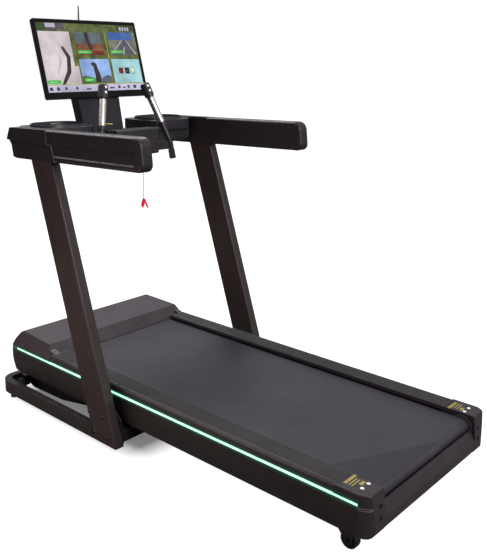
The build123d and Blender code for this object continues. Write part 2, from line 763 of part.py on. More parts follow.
KEY_GAP = 0.4
with BuildPart() as safety_key:
    # foot that sits in the socket
    with BuildSketch(Plane.XZ.offset(-(BLOCK_REAR - KEY_GAP))):
        with Locations((KEY[0], KEY[2])):
            RectangleRounded(24, 14, 3.7)
    extrude(amount=-(3.4 + KEY_GAP))
    with BuildSketch(Plane.XZ.offset(-(BLOCK_REAR - KEY_GAP))):
        with Locations((KEY[0], KEY[2])):
            RectangleRounded(34, 24, 6)
    extrude(amount=9)
    fillet(safety_key.faces().sort_by(Axis.Y)[0].edges(), 2)
    # lug under the key that the lanyard is moulded into
    lug_axis = (Vector(*CORD_ROUTE[1]) - Vector(*CORD_ROUTE[0])).normalized()
    with BuildSketch(Plane(origin=CORD_ROUTE[0], z_dir=lug_axis)):
        Circle(3.2)
    extrude(amount=-6)
safety_key.part.label = "safety_key"
export_step(safety_key.part, "parts/safety_key.step")

# the lanyard hangs straight down from the key, pulled taut by its clip
cord_turn = (Vector(*CORD_ROUTE[1]) - Vector(*CORD_ROUTE[0])).get_angle(
    Vector(*CORD_ROUTE[2]) - Vector(*CORD_ROUTE[1])
)
cord_first_run = (Vector(*CORD_ROUTE[1]) - Vector(*CORD_ROUTE[0])).length
cord_radii = [0.45 * cord_first_run / math.tan(math.radians(cord_turn / 2))]
print("lanyard radii", [round(radius, 1) for radius in cord_radii])
with BuildPart() as lanyard_cord:
    with BuildLine() as cord_path:
        FilletPolyline(*CORD_ROUTE, radius=cord_radii)
    with BuildSketch(Plane(origin=CORD_ROUTE[0], z_dir=Vector(*CORD_ROUTE[1]) - Vector(*CORD_ROUTE[0]))):
        Circle(CORD_R)
    sweep()
cord_length = sum(edge.length for edge in cord_path.line.edges())
print("lanyard length", round(cord_length, 1))
print("lanyard volume error", round(lanyard_cord.part.volume / (math.pi * CORD_R**2 * cord_length) - 1, 4))
lanyard_cord.part.label = "lanyard_cord"
export_step(lanyard_cord.part, "parts/lanyard_cord.step")

# spring clip, drawn in a plane turned about the cord: x across the clip, y up, from the cord's end
CLIP_TURN = 45.0
CLIP_PIVOT = (6.0, -15.0)
CLIP_HALF_WIDTH = 5.0
CLIP_TONGUE = 2.4
CLIP_PIN_R = 1.5


def clip_plane(offset):
    """The clip's drawing plane, moved this far along the hinge pin."""
    turn = math.radians(CLIP_TURN)
    middle = Plane(
        origin=CORD_ROUTE[-1],
        x_dir=(math.cos(turn), -math.sin(turn), 0),
        z_dir=(-math.sin(turn), -math.cos(turn), 0),
    )
    return middle.offset(offset)


with BuildPart() as clip_lever:
    with BuildSketch(clip_plane(-CLIP_HALF_WIDTH)):
        with BuildLine():
            Polyline(
                (-4, 0),
                (3, 0),
                (5, -13),
                (2.5, -22),
                (0, -33),
                (-3.5, -37),
                (-9, -34),
                (-10.5, -24),
                (-8, -10),
                close=True,
            )
        make_face()
        with Locations(CLIP_PIVOT):
            Circle(4.5)
    extrude(amount=2 * CLIP_HALF_WIDTH)
    with BuildSketch(clip_plane(-CLIP_TONGUE - GAP)):
        with Locations(CLIP_PIVOT):
            Circle(5)
    extrude(amount=2 * (CLIP_TONGUE + GAP), mode=Mode.SUBTRACT)
    with BuildSketch(clip_plane(-CLIP_HALF_WIDTH)):
        with Locations(CLIP_PIVOT):
            Circle(CLIP_PIN_R)
    extrude(amount=2 * CLIP_HALF_WIDTH)
clip_lever.part.label = "clip_lever"
export_step(clip_lever.part, "parts/clip_lever.step")

with BuildPart() as clip_jaw:
    with BuildSketch(clip_plane(-CLIP_TONGUE)):
        with BuildLine():
            Polyline(
                (4.6, -19),
                (5.3, -12),
                (4.0, -2.6),
                (6.6, -1.6),
                (10.6, -14),
                (18.8, -35),
                (13.6, -38),
                close=True,
            )
        make_face()
        with Locations(CLIP_PIVOT):
            Circle(4)
            Circle(CLIP_PIN_R + FIT, mode=Mode.SUBTRACT)
    extrude(amount=2 * CLIP_TONGUE)
    with BuildSketch(clip_plane(-CLIP_HALF_WIDTH)):
        with BuildLine():
            Polyline((8.2, -26), (15.2, -26), (18.8, -35), (13.6, -38), close=True)
        make_face()
    extrude(amount=2 * CLIP_HALF_WIDTH)
clip_jaw.part.label = "clip_jaw"
export_step(clip_jaw.part, "parts/clip_jaw.step")

# ---------------------------------------------------------------- wheels
WHEELS = {
    "rear": (REAR_WHEEL_X, REAR_WHEEL_Y, REAR_WHEEL_R, REAR_WHEEL_R, REAR_WHEEL_WIDTH),
    "front": (FRONT_WHEEL_X, FRONT_WHEEL_Y, FRONT_WHEEL_Z, FRONT_WHEEL_R, FRONT_WHEEL_WIDTH),
}
for place, (wheel_x, wheel_y, wheel_z, wheel_r, wheel_width) in WHEELS.items():
    for name, side in SIDES.items():
        with BuildPart() as wheel:
            with BuildSketch(across(side * wheel_x)):
                with Locations((wheel_y, wheel_z)):
                    Circle(wheel_r)
            extrude(amount=wheel_width / 2, both=True)
            fillet(wheel.edges(), 3)
            # dished faces round the hub
            for face_x in (-1, 1):
                with BuildSketch(across(side * wheel_x + face_x * wheel_width / 2)):
                    with Locations((wheel_y, wheel_z)):
                        Circle(wheel_r - 8)
                        Circle(9, mode=Mode.SUBTRACT)
                extrude(amount=-face_x * 3, mode=Mode.SUBTRACT)
            with BuildSketch(across(side * wheel_x)):
                with Locations((wheel_y, wheel_z)):
                    Circle(WHEEL_AXLE_R + FIT)
            extrude(amount=wheel_width, both=True, mode=Mode.SUBTRACT)
        wheel.part.label = f"{name}_{place}_wheel"
        export_step(wheel.part, f"parts/{name}_{place}_wheel.step")

# forks under the deck rails, with the axles that the rear wheels and the whole deck turn on
FORK_THICK = 4.0
FORK_INNER = REAR_WHEEL_WIDTH / 2 + 1
with BuildPart() as wheel_forks:
    for side in SIDES.values():
        for cheek in (-1, 1):
            cheek_x = side * REAR_WHEEL_X + cheek * (FORK_INNER + FORK_THICK / 2)
            with BuildSketch(across(cheek_x)):
                with BuildLine():
                    Polyline(
                        (REAR_WHEEL_Y - 12, REAR_WHEEL_R),
                        (REAR_WHEEL_Y + 12, REAR_WHEEL_R),
                        (REAR_WHEEL_Y + 70, FRAME_LOW),
                        (REAR_WHEEL_Y - 34, FRAME_LOW),
                        close=True,
                    )
                make_face()
                with Locations((REAR_WHEEL_Y, REAR_WHEEL_R)):
                    Circle(13)
            extrude(amount=FORK_THICK / 2, both=True)
        with Locations((side * REAR_WHEEL_X, REAR_WHEEL_Y + 18, FRAME_LOW - 2)):
            Box(2 * FORK_INNER, 104, 4)
        with Locations(Location((side * REAR_WHEEL_X, REAR_WHEEL_Y, REAR_WHEEL_R), (0, 90, 0))):
            Cylinder(WHEEL_AXLE_R, 2 * (FORK_INNER + FORK_THICK) + 4)
wheel_forks.part.label = "wheel_forks"
export_step(wheel_forks.part, "parts/wheel_forks.step")

# ---------------------------------------------------------------- incline lift
SCREW_R = 9.0
SCREW_Z = 84.0
crank_back = math.radians(CRANK_BACK_ANGLE)
CRANK_PIN = (LIFT_PIVOT[0] - CRANK * math.sin(crank_back), LIFT_PIVOT[1] + CRANK * math.cos(crank_back))
with BuildPart() as lift_frame:
    with Locations(Location((0, *LIFT_PIVOT), (0, 90, 0))):
        Cylinder(15, 2 * (LUG_X - 1))
    for side in SIDES.values():
        with BuildSketch(across(side * LIFT_ARM_X)):
            with BuildLine():
                Polyline(
                    (LIFT_PIVOT[0], LIFT_PIVOT[1] - 15),
                    (LIFT_PIVOT[0], LIFT_PIVOT[1] + 15),
                    (LIFT_PAD[0], LIFT_PAD[1] + 12),
                    (LIFT_PAD[0], LIFT_PAD[1] - 12),
                    (500, 34),
                    (580, 20),
                    (780, 14),
                    close=True,
                )
            make_face()
            with Locations(LIFT_PAD):
                Circle(LIFT_PAD_R)
        extrude(amount=6, both=True)
    for side in SIDES.values():
        with BuildSketch(across(side * 11)):
            with BuildLine():
                Polyline(
                    (LIFT_PIVOT[0] - 14, LIFT_PIVOT[1]),
                    (LIFT_PIVOT[0] + 14, LIFT_PIVOT[1]),
                    (CRANK_PIN[0] + 7, CRANK_PIN[1]),
                    (CRANK_PIN[0] - 7, CRANK_PIN[1]),
                    close=True,
                )
            make_face()
            with Locations(CRANK_PIN):
                Circle(7)
        extrude(amount=2.6, both=True)
    with Locations(Location((0, *CRANK_PIN), (0, 90, 0))):
        Cylinder(CRANK_PIN_R, 24)
    # bores that turn on the lift pins
    for side in SIDES.values():
        with Locations(Location((side * (LUG_X - 9), *LIFT_PIVOT), (0, 90, 0))):
            Cylinder(6 + FIT, 24, mode=Mode.SUBTRACT)
lift_frame.part.label = "lift_frame"
export_step(lift_frame.part, "parts/lift_frame.step")

with BuildPart() as lift_screw:
    with Locations(Location((0, 530, SCREW_Z), (90, 0, 0))):
        Cylinder(SCREW_R, 470)
    with BuildSketch(across(-7)):
        with BuildLine():
            Polyline(
                (750, 77), (750, 92), (800, 99), (826, 99), (826, 83), (800, 83), (770, 77), close=True
            )
        make_face()
        with Locations(CRANK_PIN):
            Circle(CRANK_PIN_R + 1.1, mode=Mode.SUBTRACT)
    extrude(amount=14)
lift_screw.part.label = "lift_screw"
export_step(lift_screw.part, "parts/lift_screw.step")

with BuildPart() as lift_actuator:
    with Locations((0, CROSS_Y + 30 + 44, 66)):
        Box(72, 88, 60)
    fillet(lift_actuator.edges().filter_by(Axis.Y), 6)
    with Locations(Location((0, 350, SCREW_Z), (90, 0, 0))):
        Cylinder(13.5, 140)
    with Locations(Location((-66, 270, 64), (90, 0, 0))):
        Cylinder(27, 124)
    with Locations((-40, 244, 64)):
        Box(30, 60, 40)
    with Locations(Location((0, 355, SCREW_Z), (90, 0, 0))):
        Cylinder(SCREW_R + GAP, 131, mode=Mode.SUBTRACT)
lift_actuator.part.label = "lift_actuator"
export_step(lift_actuator.part, "parts/lift_actuator.step")

# ---------------------------------------------------------------- deck frame
BELT_INNER_TOP = BELT_TOP - BELT_THICK
BOARD_CLEAR = 0.2
FRONT_ROLLER_Z = BELT_INNER_TOP - FRONT_ROLLER_R - GAP
REAR_ROLLER_Z = BELT_INNER_TOP - REAR_ROLLER_R - GAP
FRAME_MIDDLE = FRAME_INNER + FRAME_TUBE / 2
CROSSMEMBER_YS = (-700, -390, -80, 230, 540)
CROSSMEMBER_LOW = 150.0
CROSSMEMBER_HIGH = 168.0
BOARD_LOW = BELT_INNER_TOP - BOARD_CLEAR - BOARD_THICK

with BuildPart() as deck_side_rails:
    for side in SIDES.values():
        with BuildSketch(Plane.XZ.offset(-FRAME_FRONT_Y)):
            with Locations((side * FRAME_MIDDLE, (FRAME_LOW + FRAME_HIGH) / 2)):
                Rectangle(FRAME_TUBE, FRAME_HIGH - FRAME_LOW)
                Rectangle(FRAME_TUBE - 2 * WALL, FRAME_HIGH - FRAME_LOW - 2 * WALL, mode=Mode.SUBTRACT)
        extrude(amount=FRAME_FRONT_Y - FRAME_REAR_Y)
        for axle_y, axle_z in ((FRONT_ROLLER_Y, FRONT_ROLLER_Z), (REAR_ROLLER_Y, REAR_ROLLER_Z)):
            with Locations(Location((side * FRAME_INNER, axle_y, axle_z), (0, 90, 0))):
                Cylinder(AXLE_R + FIT, 20, mode=Mode.SUBTRACT)
deck_side_rails.part.label = "deck_side_rails"
export_step(deck_side_rails.part, "parts/deck_side_rails.step")

with BuildPart() as deck_crossmembers:
    crossmember_z = (CROSSMEMBER_LOW + CROSSMEMBER_HIGH) / 2
    with Locations([(0, y, crossmember_z) for y in CROSSMEMBER_YS]):
        Box(2 * FRAME_INNER, 44, CROSSMEMBER_HIGH - CROSSMEMBER_LOW)
        Box(2 * FRAME_INNER, 38, CROSSMEMBER_HIGH - CROSSMEMBER_LOW - 6, mode=Mode.SUBTRACT)
    # plate under the motor, and the tube between the wheel forks
    with Locations((0, 755, 107)):
        Box(2 * FRAME_INNER, 130, 6)
    with Locations((0, REAR_WHEEL_Y, 115)):
        Box(2 * FRAME_INNER, 40, 30)
        Box(2 * FRAME_INNER, 34, 24, mode=Mode.SUBTRACT)
deck_crossmembers.part.label = "deck_crossmembers"
export_step(deck_crossmembers.part, "parts/deck_crossmembers.step")

with BuildPart() as deck_cushions:
    for cushion_y in CROSSMEMBER_YS:
        for side in SIDES.values():
            with BuildSketch(Plane.XY.offset(CROSSMEMBER_HIGH)):
                with Locations((side * 250, cushion_y)):
                    Circle(19)
            extrude(amount=BOARD_LOW - CROSSMEMBER_HIGH)
deck_cushions.part.label = "deck_cushions"
export_step(deck_cushions.part, "parts/deck_cushions.step")

with BuildPart() as running_board:
    with BuildSketch(Plane.XY.offset(BOARD_LOW)):
        with Locations((0, -94)):
            Rectangle(2 * BELT_HALF, 1372)
    extrude(amount=BOARD_THICK)
    board_ends = running_board.edges().filter_by(Axis.X).group_by(Axis.Z)[-1]
    fillet(board_ends, 6)
running_board.part.label = "running_board"
export_step(running_board.part, "parts/running_board.step")

# ---------------------------------------------------------------- belt, rollers and drive
inner_loop = loop_outline(
    FRONT_ROLLER_Y, FRONT_ROLLER_Z, FRONT_ROLLER_R + GAP, REAR_ROLLER_Y, REAR_ROLLER_Z, REAR_ROLLER_R + GAP
)
outer_loop = loop_outline(
    FRONT_ROLLER_Y,
    FRONT_ROLLER_Z,
    FRONT_ROLLER_R + GAP + BELT_THICK,
    REAR_ROLLER_Y,
    REAR_ROLLER_Z,
    REAR_ROLLER_R + GAP + BELT_THICK,
)
with BuildPart() as running_belt:
    extrude(outer_loop, amount=BELT_HALF, both=True)
    extrude(inner_loop, amount=BELT_HALF, both=True, mode=Mode.SUBTRACT)
running_belt.part.label = "running_belt"
export_step(running_belt.part, "parts/running_belt.step")

ROLLER_AXLE_HALF = 312.0
with BuildPart() as front_roller:
    with Locations(Location((0, FRONT_ROLLER_Y, FRONT_ROLLER_Z), (0, 90, 0))):
        Cylinder(FRONT_ROLLER_R, 2 * (RAIL_INNER - 2))
        Cylinder(AXLE_R, 2 * ROLLER_AXLE_HALF)
    with Locations(Location((PULLEY_X, FRONT_ROLLER_Y, FRONT_ROLLER_Z), (0, 90, 0))):
        Cylinder(ROLLER_PULLEY_R, PULLEY_WIDTH)
front_roller.part.label = "front_roller"
export_step(front_roller.part, "parts/front_roller.step")

with BuildPart() as rear_roller:
    with Locations(Location((0, REAR_ROLLER_Y, REAR_ROLLER_Z), (0, 90, 0))):
        Cylinder(REAR_ROLLER_R, 2 * (RAIL_INNER - 2))
        Cylinder(AXLE_R, 2 * ROLLER_AXLE_HALF)
rear_roller.part.label = "rear_roller"
export_step(rear_roller.part, "parts/rear_roller.step")

MOTOR_SHAFT_R = 8.0
with BuildPart() as motor_rotor:
    with Locations(Location((-161, MOTOR_Y, MOTOR_Z), (0, 90, 0))):
        Cylinder(MOTOR_SHAFT_R, 276)
    with Locations(Location((-256, MOTOR_Y, MOTOR_Z), (0, 90, 0))):
        Cylinder(46, 22)
    with Locations(Location((PULLEY_X, MOTOR_Y, MOTOR_Z), (0, 90, 0))):
        Cylinder(MOTOR_PULLEY_R, PULLEY_WIDTH)
motor_rotor.part.label = "motor_rotor"
export_step(motor_rotor.part, "parts/motor_rotor.step")

with BuildPart() as drive_motor:
    with Locations(Location((-130, MOTOR_Y, MOTOR_Z), (0, 90, 0))):
        Cylinder(MOTOR_R, 200)
    chamfer(drive_motor.edges(), 5)
    with Locations((-130, MOTOR_Y, 116)):
        Box(130, 96, 12)
    with Locations((-130, MOTOR_Y, 128)):
        Box(110, 60, 20)
    with Locations(Location((-130, MOTOR_Y, MOTOR_Z), (0, 90, 0))):
        Cylinder(MOTOR_SHAFT_R + FIT, 220, mode=Mode.SUBTRACT)
drive_motor.part.label = "drive_motor"
export_step(drive_motor.part, "parts/drive_motor.step")

RIBBED_BELT = 3.0
with BuildPart() as drive_belt:
    drive_gaps = [GAP + RIBBED_BELT, GAP]
    for reach, mode in zip(drive_gaps, (Mode.ADD, Mode.SUBTRACT)):
        band = loop_outline(
            FRONT_ROLLER_Y,
            FRONT_ROLLER_Z,
            ROLLER_PULLEY_R + reach,
            MOTOR_Y,
            MOTOR_Z,
            MOTOR_PULLEY_R + reach,
        )
        extrude(Pos(PULLEY_X, 0, 0) * band, amount=PULLEY_WIDTH / 2 - 1, both=True, mode=mode)
drive_belt.part.label = "drive_belt"
export_step(drive_belt.part, "parts/drive_belt.step")

with BuildPart() as motor_controller:
    with Locations((150, 748, 136)):
        Box(190, 110, 52)
    with Locations([(62 + 16 * fin, 748, 156) for fin in range(12)]):
        Box(10, 110, 14, mode=Mode.SUBTRACT)
motor_controller.part.label = "motor_controller"
export_step(motor_controller.part, "parts/motor_controller.step")

# ---------------------------------------------------------------- deck covers
# the rounded front of the deck, seen from the side, from the skirt's foot to the hood's crest
NOSE_TOP = (HOOD_CREST[0] + 8, HOOD_CREST[1])
NOSE_ARC = ThreePointArc(NOSE_FOOT, NOSE, NOSE_TOP)


def nose_at(z):
    """How far forward the rounded front reaches at height z."""
    centre = NOSE_ARC.arc_center
    return centre.X + math.sqrt(NOSE_ARC.radius**2 - (z - centre.Y) ** 2)


SKIRT_THICK = 8.0
APRON_REAR = 805.0
for name, side in SIDES.items():
    with BuildPart() as skirt:
        with BuildSketch(across(side * DECK_HALF)):
            with BuildLine():
                low_front = NOSE_FOOT
                high_front = (nose_at(LIGHT_HIGH), LIGHT_HIGH)
                ThreePointArc(low_front, (nose_at(140), 140), high_front)
                Polyline(
                    high_front,
                    (828, LIGHT_HIGH),
                    (828, LIGHT_LOW),
                    (CAP_SPLIT_Y, LIGHT_LOW),
                    (CAP_SPLIT_Y, SKIRT_BOTTOM),
                    low_front,
                )
            make_face()
        extrude(amount=-side * SKIRT_THICK)
        with Locations((side * (DECK_HALF - 16), (CAP_SPLIT_Y + APRON_REAR) / 2, SKIRT_BOTTOM + WALL / 2)):
            Box(32, APRON_REAR - CAP_SPLIT_Y, WALL)
        # rounded lower outer edge
        lower_edge = skirt.edges().filter_by(Axis.Y).sort_by(Axis.Z).group_by(Axis.Z)[0]
        fillet(lower_edge.sort_by(Axis((0, 0, 0), (side, 0, 0)))[-1], 2.5)
    skirt.part.label = f"{name}_skirt"
    export_step(skirt.part, f"parts/{name}_skirt.step")

with BuildPart() as foot_rails:
    for side in SIDES.values():
        with BuildSketch(Plane.XZ.offset(-RAIL_FRONT_Y)):
            with BuildLine():
                Polyline(
                    (side * RAIL_INNER, 203),
                    (side * RAIL_INNER, RAIL_TOP),
                    (side * 353, RAIL_TOP),
                    (side * 361, 208.5),
                    (side * 361, LIGHT_HIGH),
                    (side * 355, LIGHT_HIGH),
                    (side * 355, 206),
                    (side * 350, 211),
                    (side * 324, 211),
                    (side * 324, FRAME_HIGH),
                    (side * 306, FRAME_HIGH),
                    (side * 306, 211),
                    (side * (RAIL_INNER + 4), 211),
                    (side * (RAIL_INNER + 4), 203),
                    close=True,
                )
            make_face()
        extrude(amount=RAIL_FRONT_Y + 752)
    for side in SIDES.values():
        rail_edges = foot_rails.edges().filter_by(Axis.Y).filter_by(lambda e: e.center().Z > 208.2)
        fillet(rail_edges.sort_by(Axis((0, 0, 0), (side, 0, 0)))[-2:], 5)
foot_rails.part.label = "foot_rails"
export_step(foot_rails.part, "parts/foot_rails.step")

with BuildPart() as light_strips:
    for side in SIDES.values():
        with Locations((side * 357, (828 - 831) / 2, (LIGHT_LOW + LIGHT_HIGH) / 2)):
            Box(9, 828 + 831, LIGHT_HIGH - LIGHT_LOW)
light_strips.part.label = "light_strips"
export_step(light_strips.part, "parts/light_strips.step")

with BuildPart() as hood:
    with BuildSketch(Plane.YZ):
        with BuildLine():
            low_front = (nose_at(LIGHT_HIGH), LIGHT_HIGH)
            ThreePointArc(low_front, (nose_at(222), 222), NOSE_TOP)
            Polyline(
                NOSE_TOP,
                HOOD_LIP,
                (RAIL_FRONT_Y, 200.5),
                (RAIL_FRONT_Y, LIGHT_HIGH),
                low_front,
            )
        make_face()
    extrude(amount=DECK_HALF, both=True)
    top_front_edge = hood.edges().filter_by(Axis.X).sort_by(Axis.Z)[-1]
    fillet(top_front_edge, 20)
    # sides that lean in above the light strips
    with BuildSketch(Plane.XZ.offset(-900)):
        with BuildLine():
            FilletPolyline(
                (-DECK_HALF, 150),
                (-DECK_HALF, 200),
                (-HOOD_TOP_HALF, 259),
                (HOOD_TOP_HALF, 259),
                (DECK_HALF, 200),
                (DECK_HALF, 150),
                radius=[10, 24, 24, 10],
            )
            Line((DECK_HALF, 150), (-DECK_HALF, 150))
        make_face()
    extrude(amount=400, mode=Mode.INTERSECT)
    # hollow underside, stepped to follow the leaning sides
    hollow_rear = RAIL_FRONT_Y + 5
    rear_slope = (HOOD_LIP[0] - RAIL_FRONT_Y) / (HOOD_LIP[1] - 200.5)
    for half, top in ((324.0, HOOD_LIP[1] - WALL), (346.0, 214.0)):
        with BuildSketch(Plane.YZ):
            with BuildLine():
                Polyline(
                    (hollow_rear, LIGHT_HIGH),
                    (hollow_rear, 199),
                    (hollow_rear + rear_slope * (top - 199), top),
                    (nose_at(top) - WALL - 1, top),
                    (nose_at(199) - WALL, 199),
                    (nose_at(LIGHT_HIGH) - WALL, LIGHT_HIGH),
                    close=True,
                )
            make_face()
        extrude(amount=half, both=True, mode=Mode.SUBTRACT)
    with BuildSketch(Plane.XY.offset(LIGHT_HIGH)):
        with Locations((0, (hollow_rear + 845) / 2)):
            Rectangle(2 * 354, 845 - hollow_rear)
    extrude(amount=11, mode=Mode.SUBTRACT)
    # way out for the belt
    with Locations((0, RAIL_FRONT_Y + 10, 194)):
        Box(2 * RAIL_INNER, 40, 13, mode=Mode.SUBTRACT)
hood.part.label = "hood"
export_step(hood.part, "parts/hood.step")

POWER_MIDDLE = (250.0, 127.0)
POWER_HALF = (40.0, 25.0)
with BuildPart() as front_apron:
    with BuildSketch(Plane.YZ):
        with BuildLine():
            low_front = (NOSE_FOOT[0], SKIRT_BOTTOM)
            high_front = (nose_at(LIGHT_HIGH), LIGHT_HIGH)
            ThreePointArc(low_front, (nose_at(140), 140), high_front)
            Polyline(
                high_front,
                (high_front[0] - WALL, LIGHT_HIGH),
            )
            ThreePointArc(
                (high_front[0] - WALL, LIGHT_HIGH),
                (nose_at(140) - WALL, 140),
                (NOSE_FOOT[0] - WALL + 1, SKIRT_BOTTOM + WALL),
            )
            Polyline(
                (NOSE_FOOT[0] - WALL + 1, SKIRT_BOTTOM + WALL),
                (APRON_REAR, SKIRT_BOTTOM + WALL),
                (APRON_REAR, SKIRT_BOTTOM),
                low_front,
            )
        make_face()
    extrude(amount=DECK_HALF - SKIRT_THICK, both=True)
    # room for the lift crank at rest, and the opening for the power panel
    with Locations((0, 815, SKIRT_BOTTOM)):
        Box(60, 60, 20, mode=Mode.SUBTRACT)
    with Locations((POWER_MIDDLE[0], 850, POWER_MIDDLE[1])):
        Box(2 * POWER_HALF[0], 60, 2 * POWER_HALF[1], mode=Mode.SUBTRACT)
front_apron.part.label = "front_apron"
export_step(front_apron.part, "parts/front_apron.step")

ROCKER_MIDDLE = (230.0, 856.0, 127.0)
INLET_X = 266.0
PANEL_FACE_Y = 860.0
with BuildPart() as power_panel:
    with Locations((POWER_MIDDLE[0], PANEL_FACE_Y - 15, POWER_MIDDLE[1])):
        Box(2 * POWER_HALF[0] - 0.6, 30, 2 * POWER_HALF[1] - 0.6)
    # mains inlet with its three pins
    with BuildSketch(Plane.XZ.offset(-PANEL_FACE_Y)):
        with Locations((INLET_X, POWER_MIDDLE[1])):
            RectangleRounded(27, 20, 3)
    extrude(amount=18, mode=Mode.SUBTRACT)
    with BuildSketch(Plane.XZ.offset(-PANEL_FACE_Y + 18)):
        for pin_x, pin_z in ((-7, -2), (7, -2), (0, 4)):
            with Locations((INLET_X + pin_x, POWER_MIDDLE[1] + pin_z)):
                Rectangle(2, 4)
    extrude(amount=-14)
    # well for the rocker switch
    with Locations((ROCKER_MIDDLE[0], PANEL_FACE_Y - 7, ROCKER_MIDDLE[2])):
        Box(19, 16, 30, mode=Mode.SUBTRACT)
    with Locations(Location(ROCKER_MIDDLE, (0, 90, 0))):
        Cylinder(1.2, 20)
power_panel.part.label = "power_panel"
export_step(power_panel.part, "parts/power_panel.step")

with BuildPart() as power_rocker:
    with BuildSketch(across(ROCKER_MIDDLE[0] - 8.5)):
        with Locations((ROCKER_MIDDLE[1] + 1, ROCKER_MIDDLE[2])):
            with Locations(Rotation(0, 0, 7)):
                Rectangle(8, 24)
        with Locations((ROCKER_MIDDLE[1], ROCKER_MIDDLE[2])):
            Circle(1.2 + FIT, mode=Mode.SUBTRACT)
    extrude(amount=17)
power_rocker.part.label = "power_rocker"
export_step(power_rocker.part, "parts/power_rocker.step")

# ---------------------------------------------------------------- rear end
CAP_CORNER = 46.0
CAP_TOP_REAR = -865.0
CAP_FOOT_R = 13.0
CAP_SCREWS_Z = (133.0, 170.0)
CAP_SCREW_X = 305.0
for name, side in SIDES.items():
    with BuildPart() as end_cap:
        with BuildSketch(across(side * DECK_HALF)):
            with BuildLine():
                CenterArc((DECK_REAR + CAP_FOOT_R, SKIRT_BOTTOM + CAP_FOOT_R), CAP_FOOT_R, 180, 90)
                TangentArc((DECK_REAR, SKIRT_BOTTOM + CAP_FOOT_R), (CAP_TOP_REAR, RAIL_TOP), tangent=(0, 1))
                Polyline(
                    (CAP_TOP_REAR, RAIL_TOP),
                    (-752, RAIL_TOP),
                    (-752, LIGHT_HIGH),
                    (CAP_SPLIT_Y, LIGHT_HIGH),
                    (CAP_SPLIT_Y, SKIRT_BOTTOM),
                    (DECK_REAR + CAP_FOOT_R, SKIRT_BOTTOM),
                )
            make_face()
        extrude(amount=-side * (DECK_HALF - RAIL_INNER))
        with BuildSketch(Plane.XY.offset(SKIRT_BOTTOM - 10)):
            with BuildLine():
                FilletPolyline(
                    (side * RAIL_INNER, DECK_REAR - 5),
                    (side * DECK_HALF, DECK_REAR + 1),
                    (side * DECK_HALF, -700),
                    radius=CAP_CORNER,
                )
                Polyline(
                    (side * DECK_HALF, -700),
                    (side * RAIL_INNER, -700),
                    (side * RAIL_INNER, DECK_REAR - 5),
                )
            make_face()
        extrude(amount=200, mode=Mode.INTERSECT)
        top_edges = end_cap.faces().sort_by(Axis.Z)[-1].edges()
        fillet(top_edges.filter_by(lambda e: e.center().Y < -753 and abs(e.center().X) > RAIL_INNER + 1), 4)
        # hollow inside for the frame rail and the roller's end
        with Locations((side * 316.5, -838, 150)):
            Box(57, 40, 122, mode=Mode.SUBTRACT)
        with Locations((side * 316.5, -790, 199)):
            Box(57, 100, 24, mode=Mode.SUBTRACT)
        with Locations(Location((side * 285, REAR_ROLLER_Y - 4, REAR_ROLLER_Z), (0, 90, 0))):
            Cylinder(AXLE_R + 3, 12, mode=Mode.SUBTRACT)
        # counterbored screw holes in the rear face
        with BuildSketch(Plane.XZ.offset(-DECK_REAR)):
            with Locations([(side * CAP_SCREW_X, screw_z) for screw_z in CAP_SCREWS_Z]):
                Circle(7)
        extrude(amount=-9, mode=Mode.SUBTRACT)
        with BuildSketch(Plane.XZ.offset(-DECK_REAR)):
            with Locations([(side * CAP_SCREW_X, screw_z) for screw_z in CAP_SCREWS_Z]):
                Circle(3.2)
        extrude(amount=-24, mode=Mode.SUBTRACT)
        # step line round the cap below the light strip
        with BuildSketch(across(side * DECK_HALF)):
            with Locations((CAP_SPLIT_Y - 30, 172)):
                Rectangle(60, 2.4)
        extrude(amount=-side * 1.6, mode=Mode.SUBTRACT)
    end_cap.part.label = f"{name}_end_cap"
    export_step(end_cap.part, f"parts/{name}_end_cap.step")

with BuildPart() as end_cap_screws:
    for side in SIDES.values():
        for screw_z in CAP_SCREWS_Z:
            with BuildSketch(Plane.XZ.offset(-DECK_REAR - 9)):
                with Locations((side * CAP_SCREW_X, screw_z)):
                    Circle(6)
            extrude(amount=4)
            with BuildSketch(Plane.XZ.offset(-DECK_REAR - 9)):
                with Locations((side * CAP_SCREW_X, screw_z)):
                    Circle(3)
            extrude(amount=-12)
            with BuildSketch(Plane.XZ.offset(-DECK_REAR - 5)):
                with Locations((side * CAP_SCREW_X, screw_z)):
                    RegularPolygon(3, 6)
            extrude(amount=-2.5, mode=Mode.SUBTRACT)
end_cap_screws.part.label = "end_cap_screws"
export_step(end_cap_screws.part, "parts/end_cap_screws.step")

COVER_TOP = 166.0
COVER_EDGE = 127.0  # where the rear face turns in towards the belt
COVER_REAR = DECK_REAR + 1
COVER_WALL = 4.0
PAN_FRONT = -760.0
cover_foot = (COVER_REAR + CAP_FOOT_R, SKIRT_BOTTOM + CAP_FOOT_R)
with BuildPart() as rear_cross_cover:
    with BuildSketch(Plane.YZ):
        with BuildLine():
            CenterArc(cover_foot, CAP_FOOT_R, 180, 90)
            CenterArc(cover_foot, CAP_FOOT_R - COVER_WALL, 180, 90)
            Polyline(
                (COVER_REAR, cover_foot[1]),
                (COVER_REAR, COVER_EDGE),
                (-856.5, COVER_TOP),
                (-852, COVER_TOP - 1),
                (COVER_REAR + COVER_WALL, COVER_EDGE - 2),
                (COVER_REAR + COVER_WALL, cover_foot[1]),
            )
            Polyline(
                (cover_foot[0], SKIRT_BOTTOM + COVER_WALL),
                (PAN_FRONT, SKIRT_BOTTOM + COVER_WALL),
                (PAN_FRONT, SKIRT_BOTTOM),
                (cover_foot[0], SKIRT_BOTTOM),
            )
        make_face()
    extrude(amount=RAIL_INNER, both=True)
rear_cross_cover.part.label = "rear_cross_cover"
export_step(rear_cross_cover.part, "parts/rear_cross_cover.step")
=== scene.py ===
import math

import bmesh
import bpy
from mathutils import Matrix, Vector


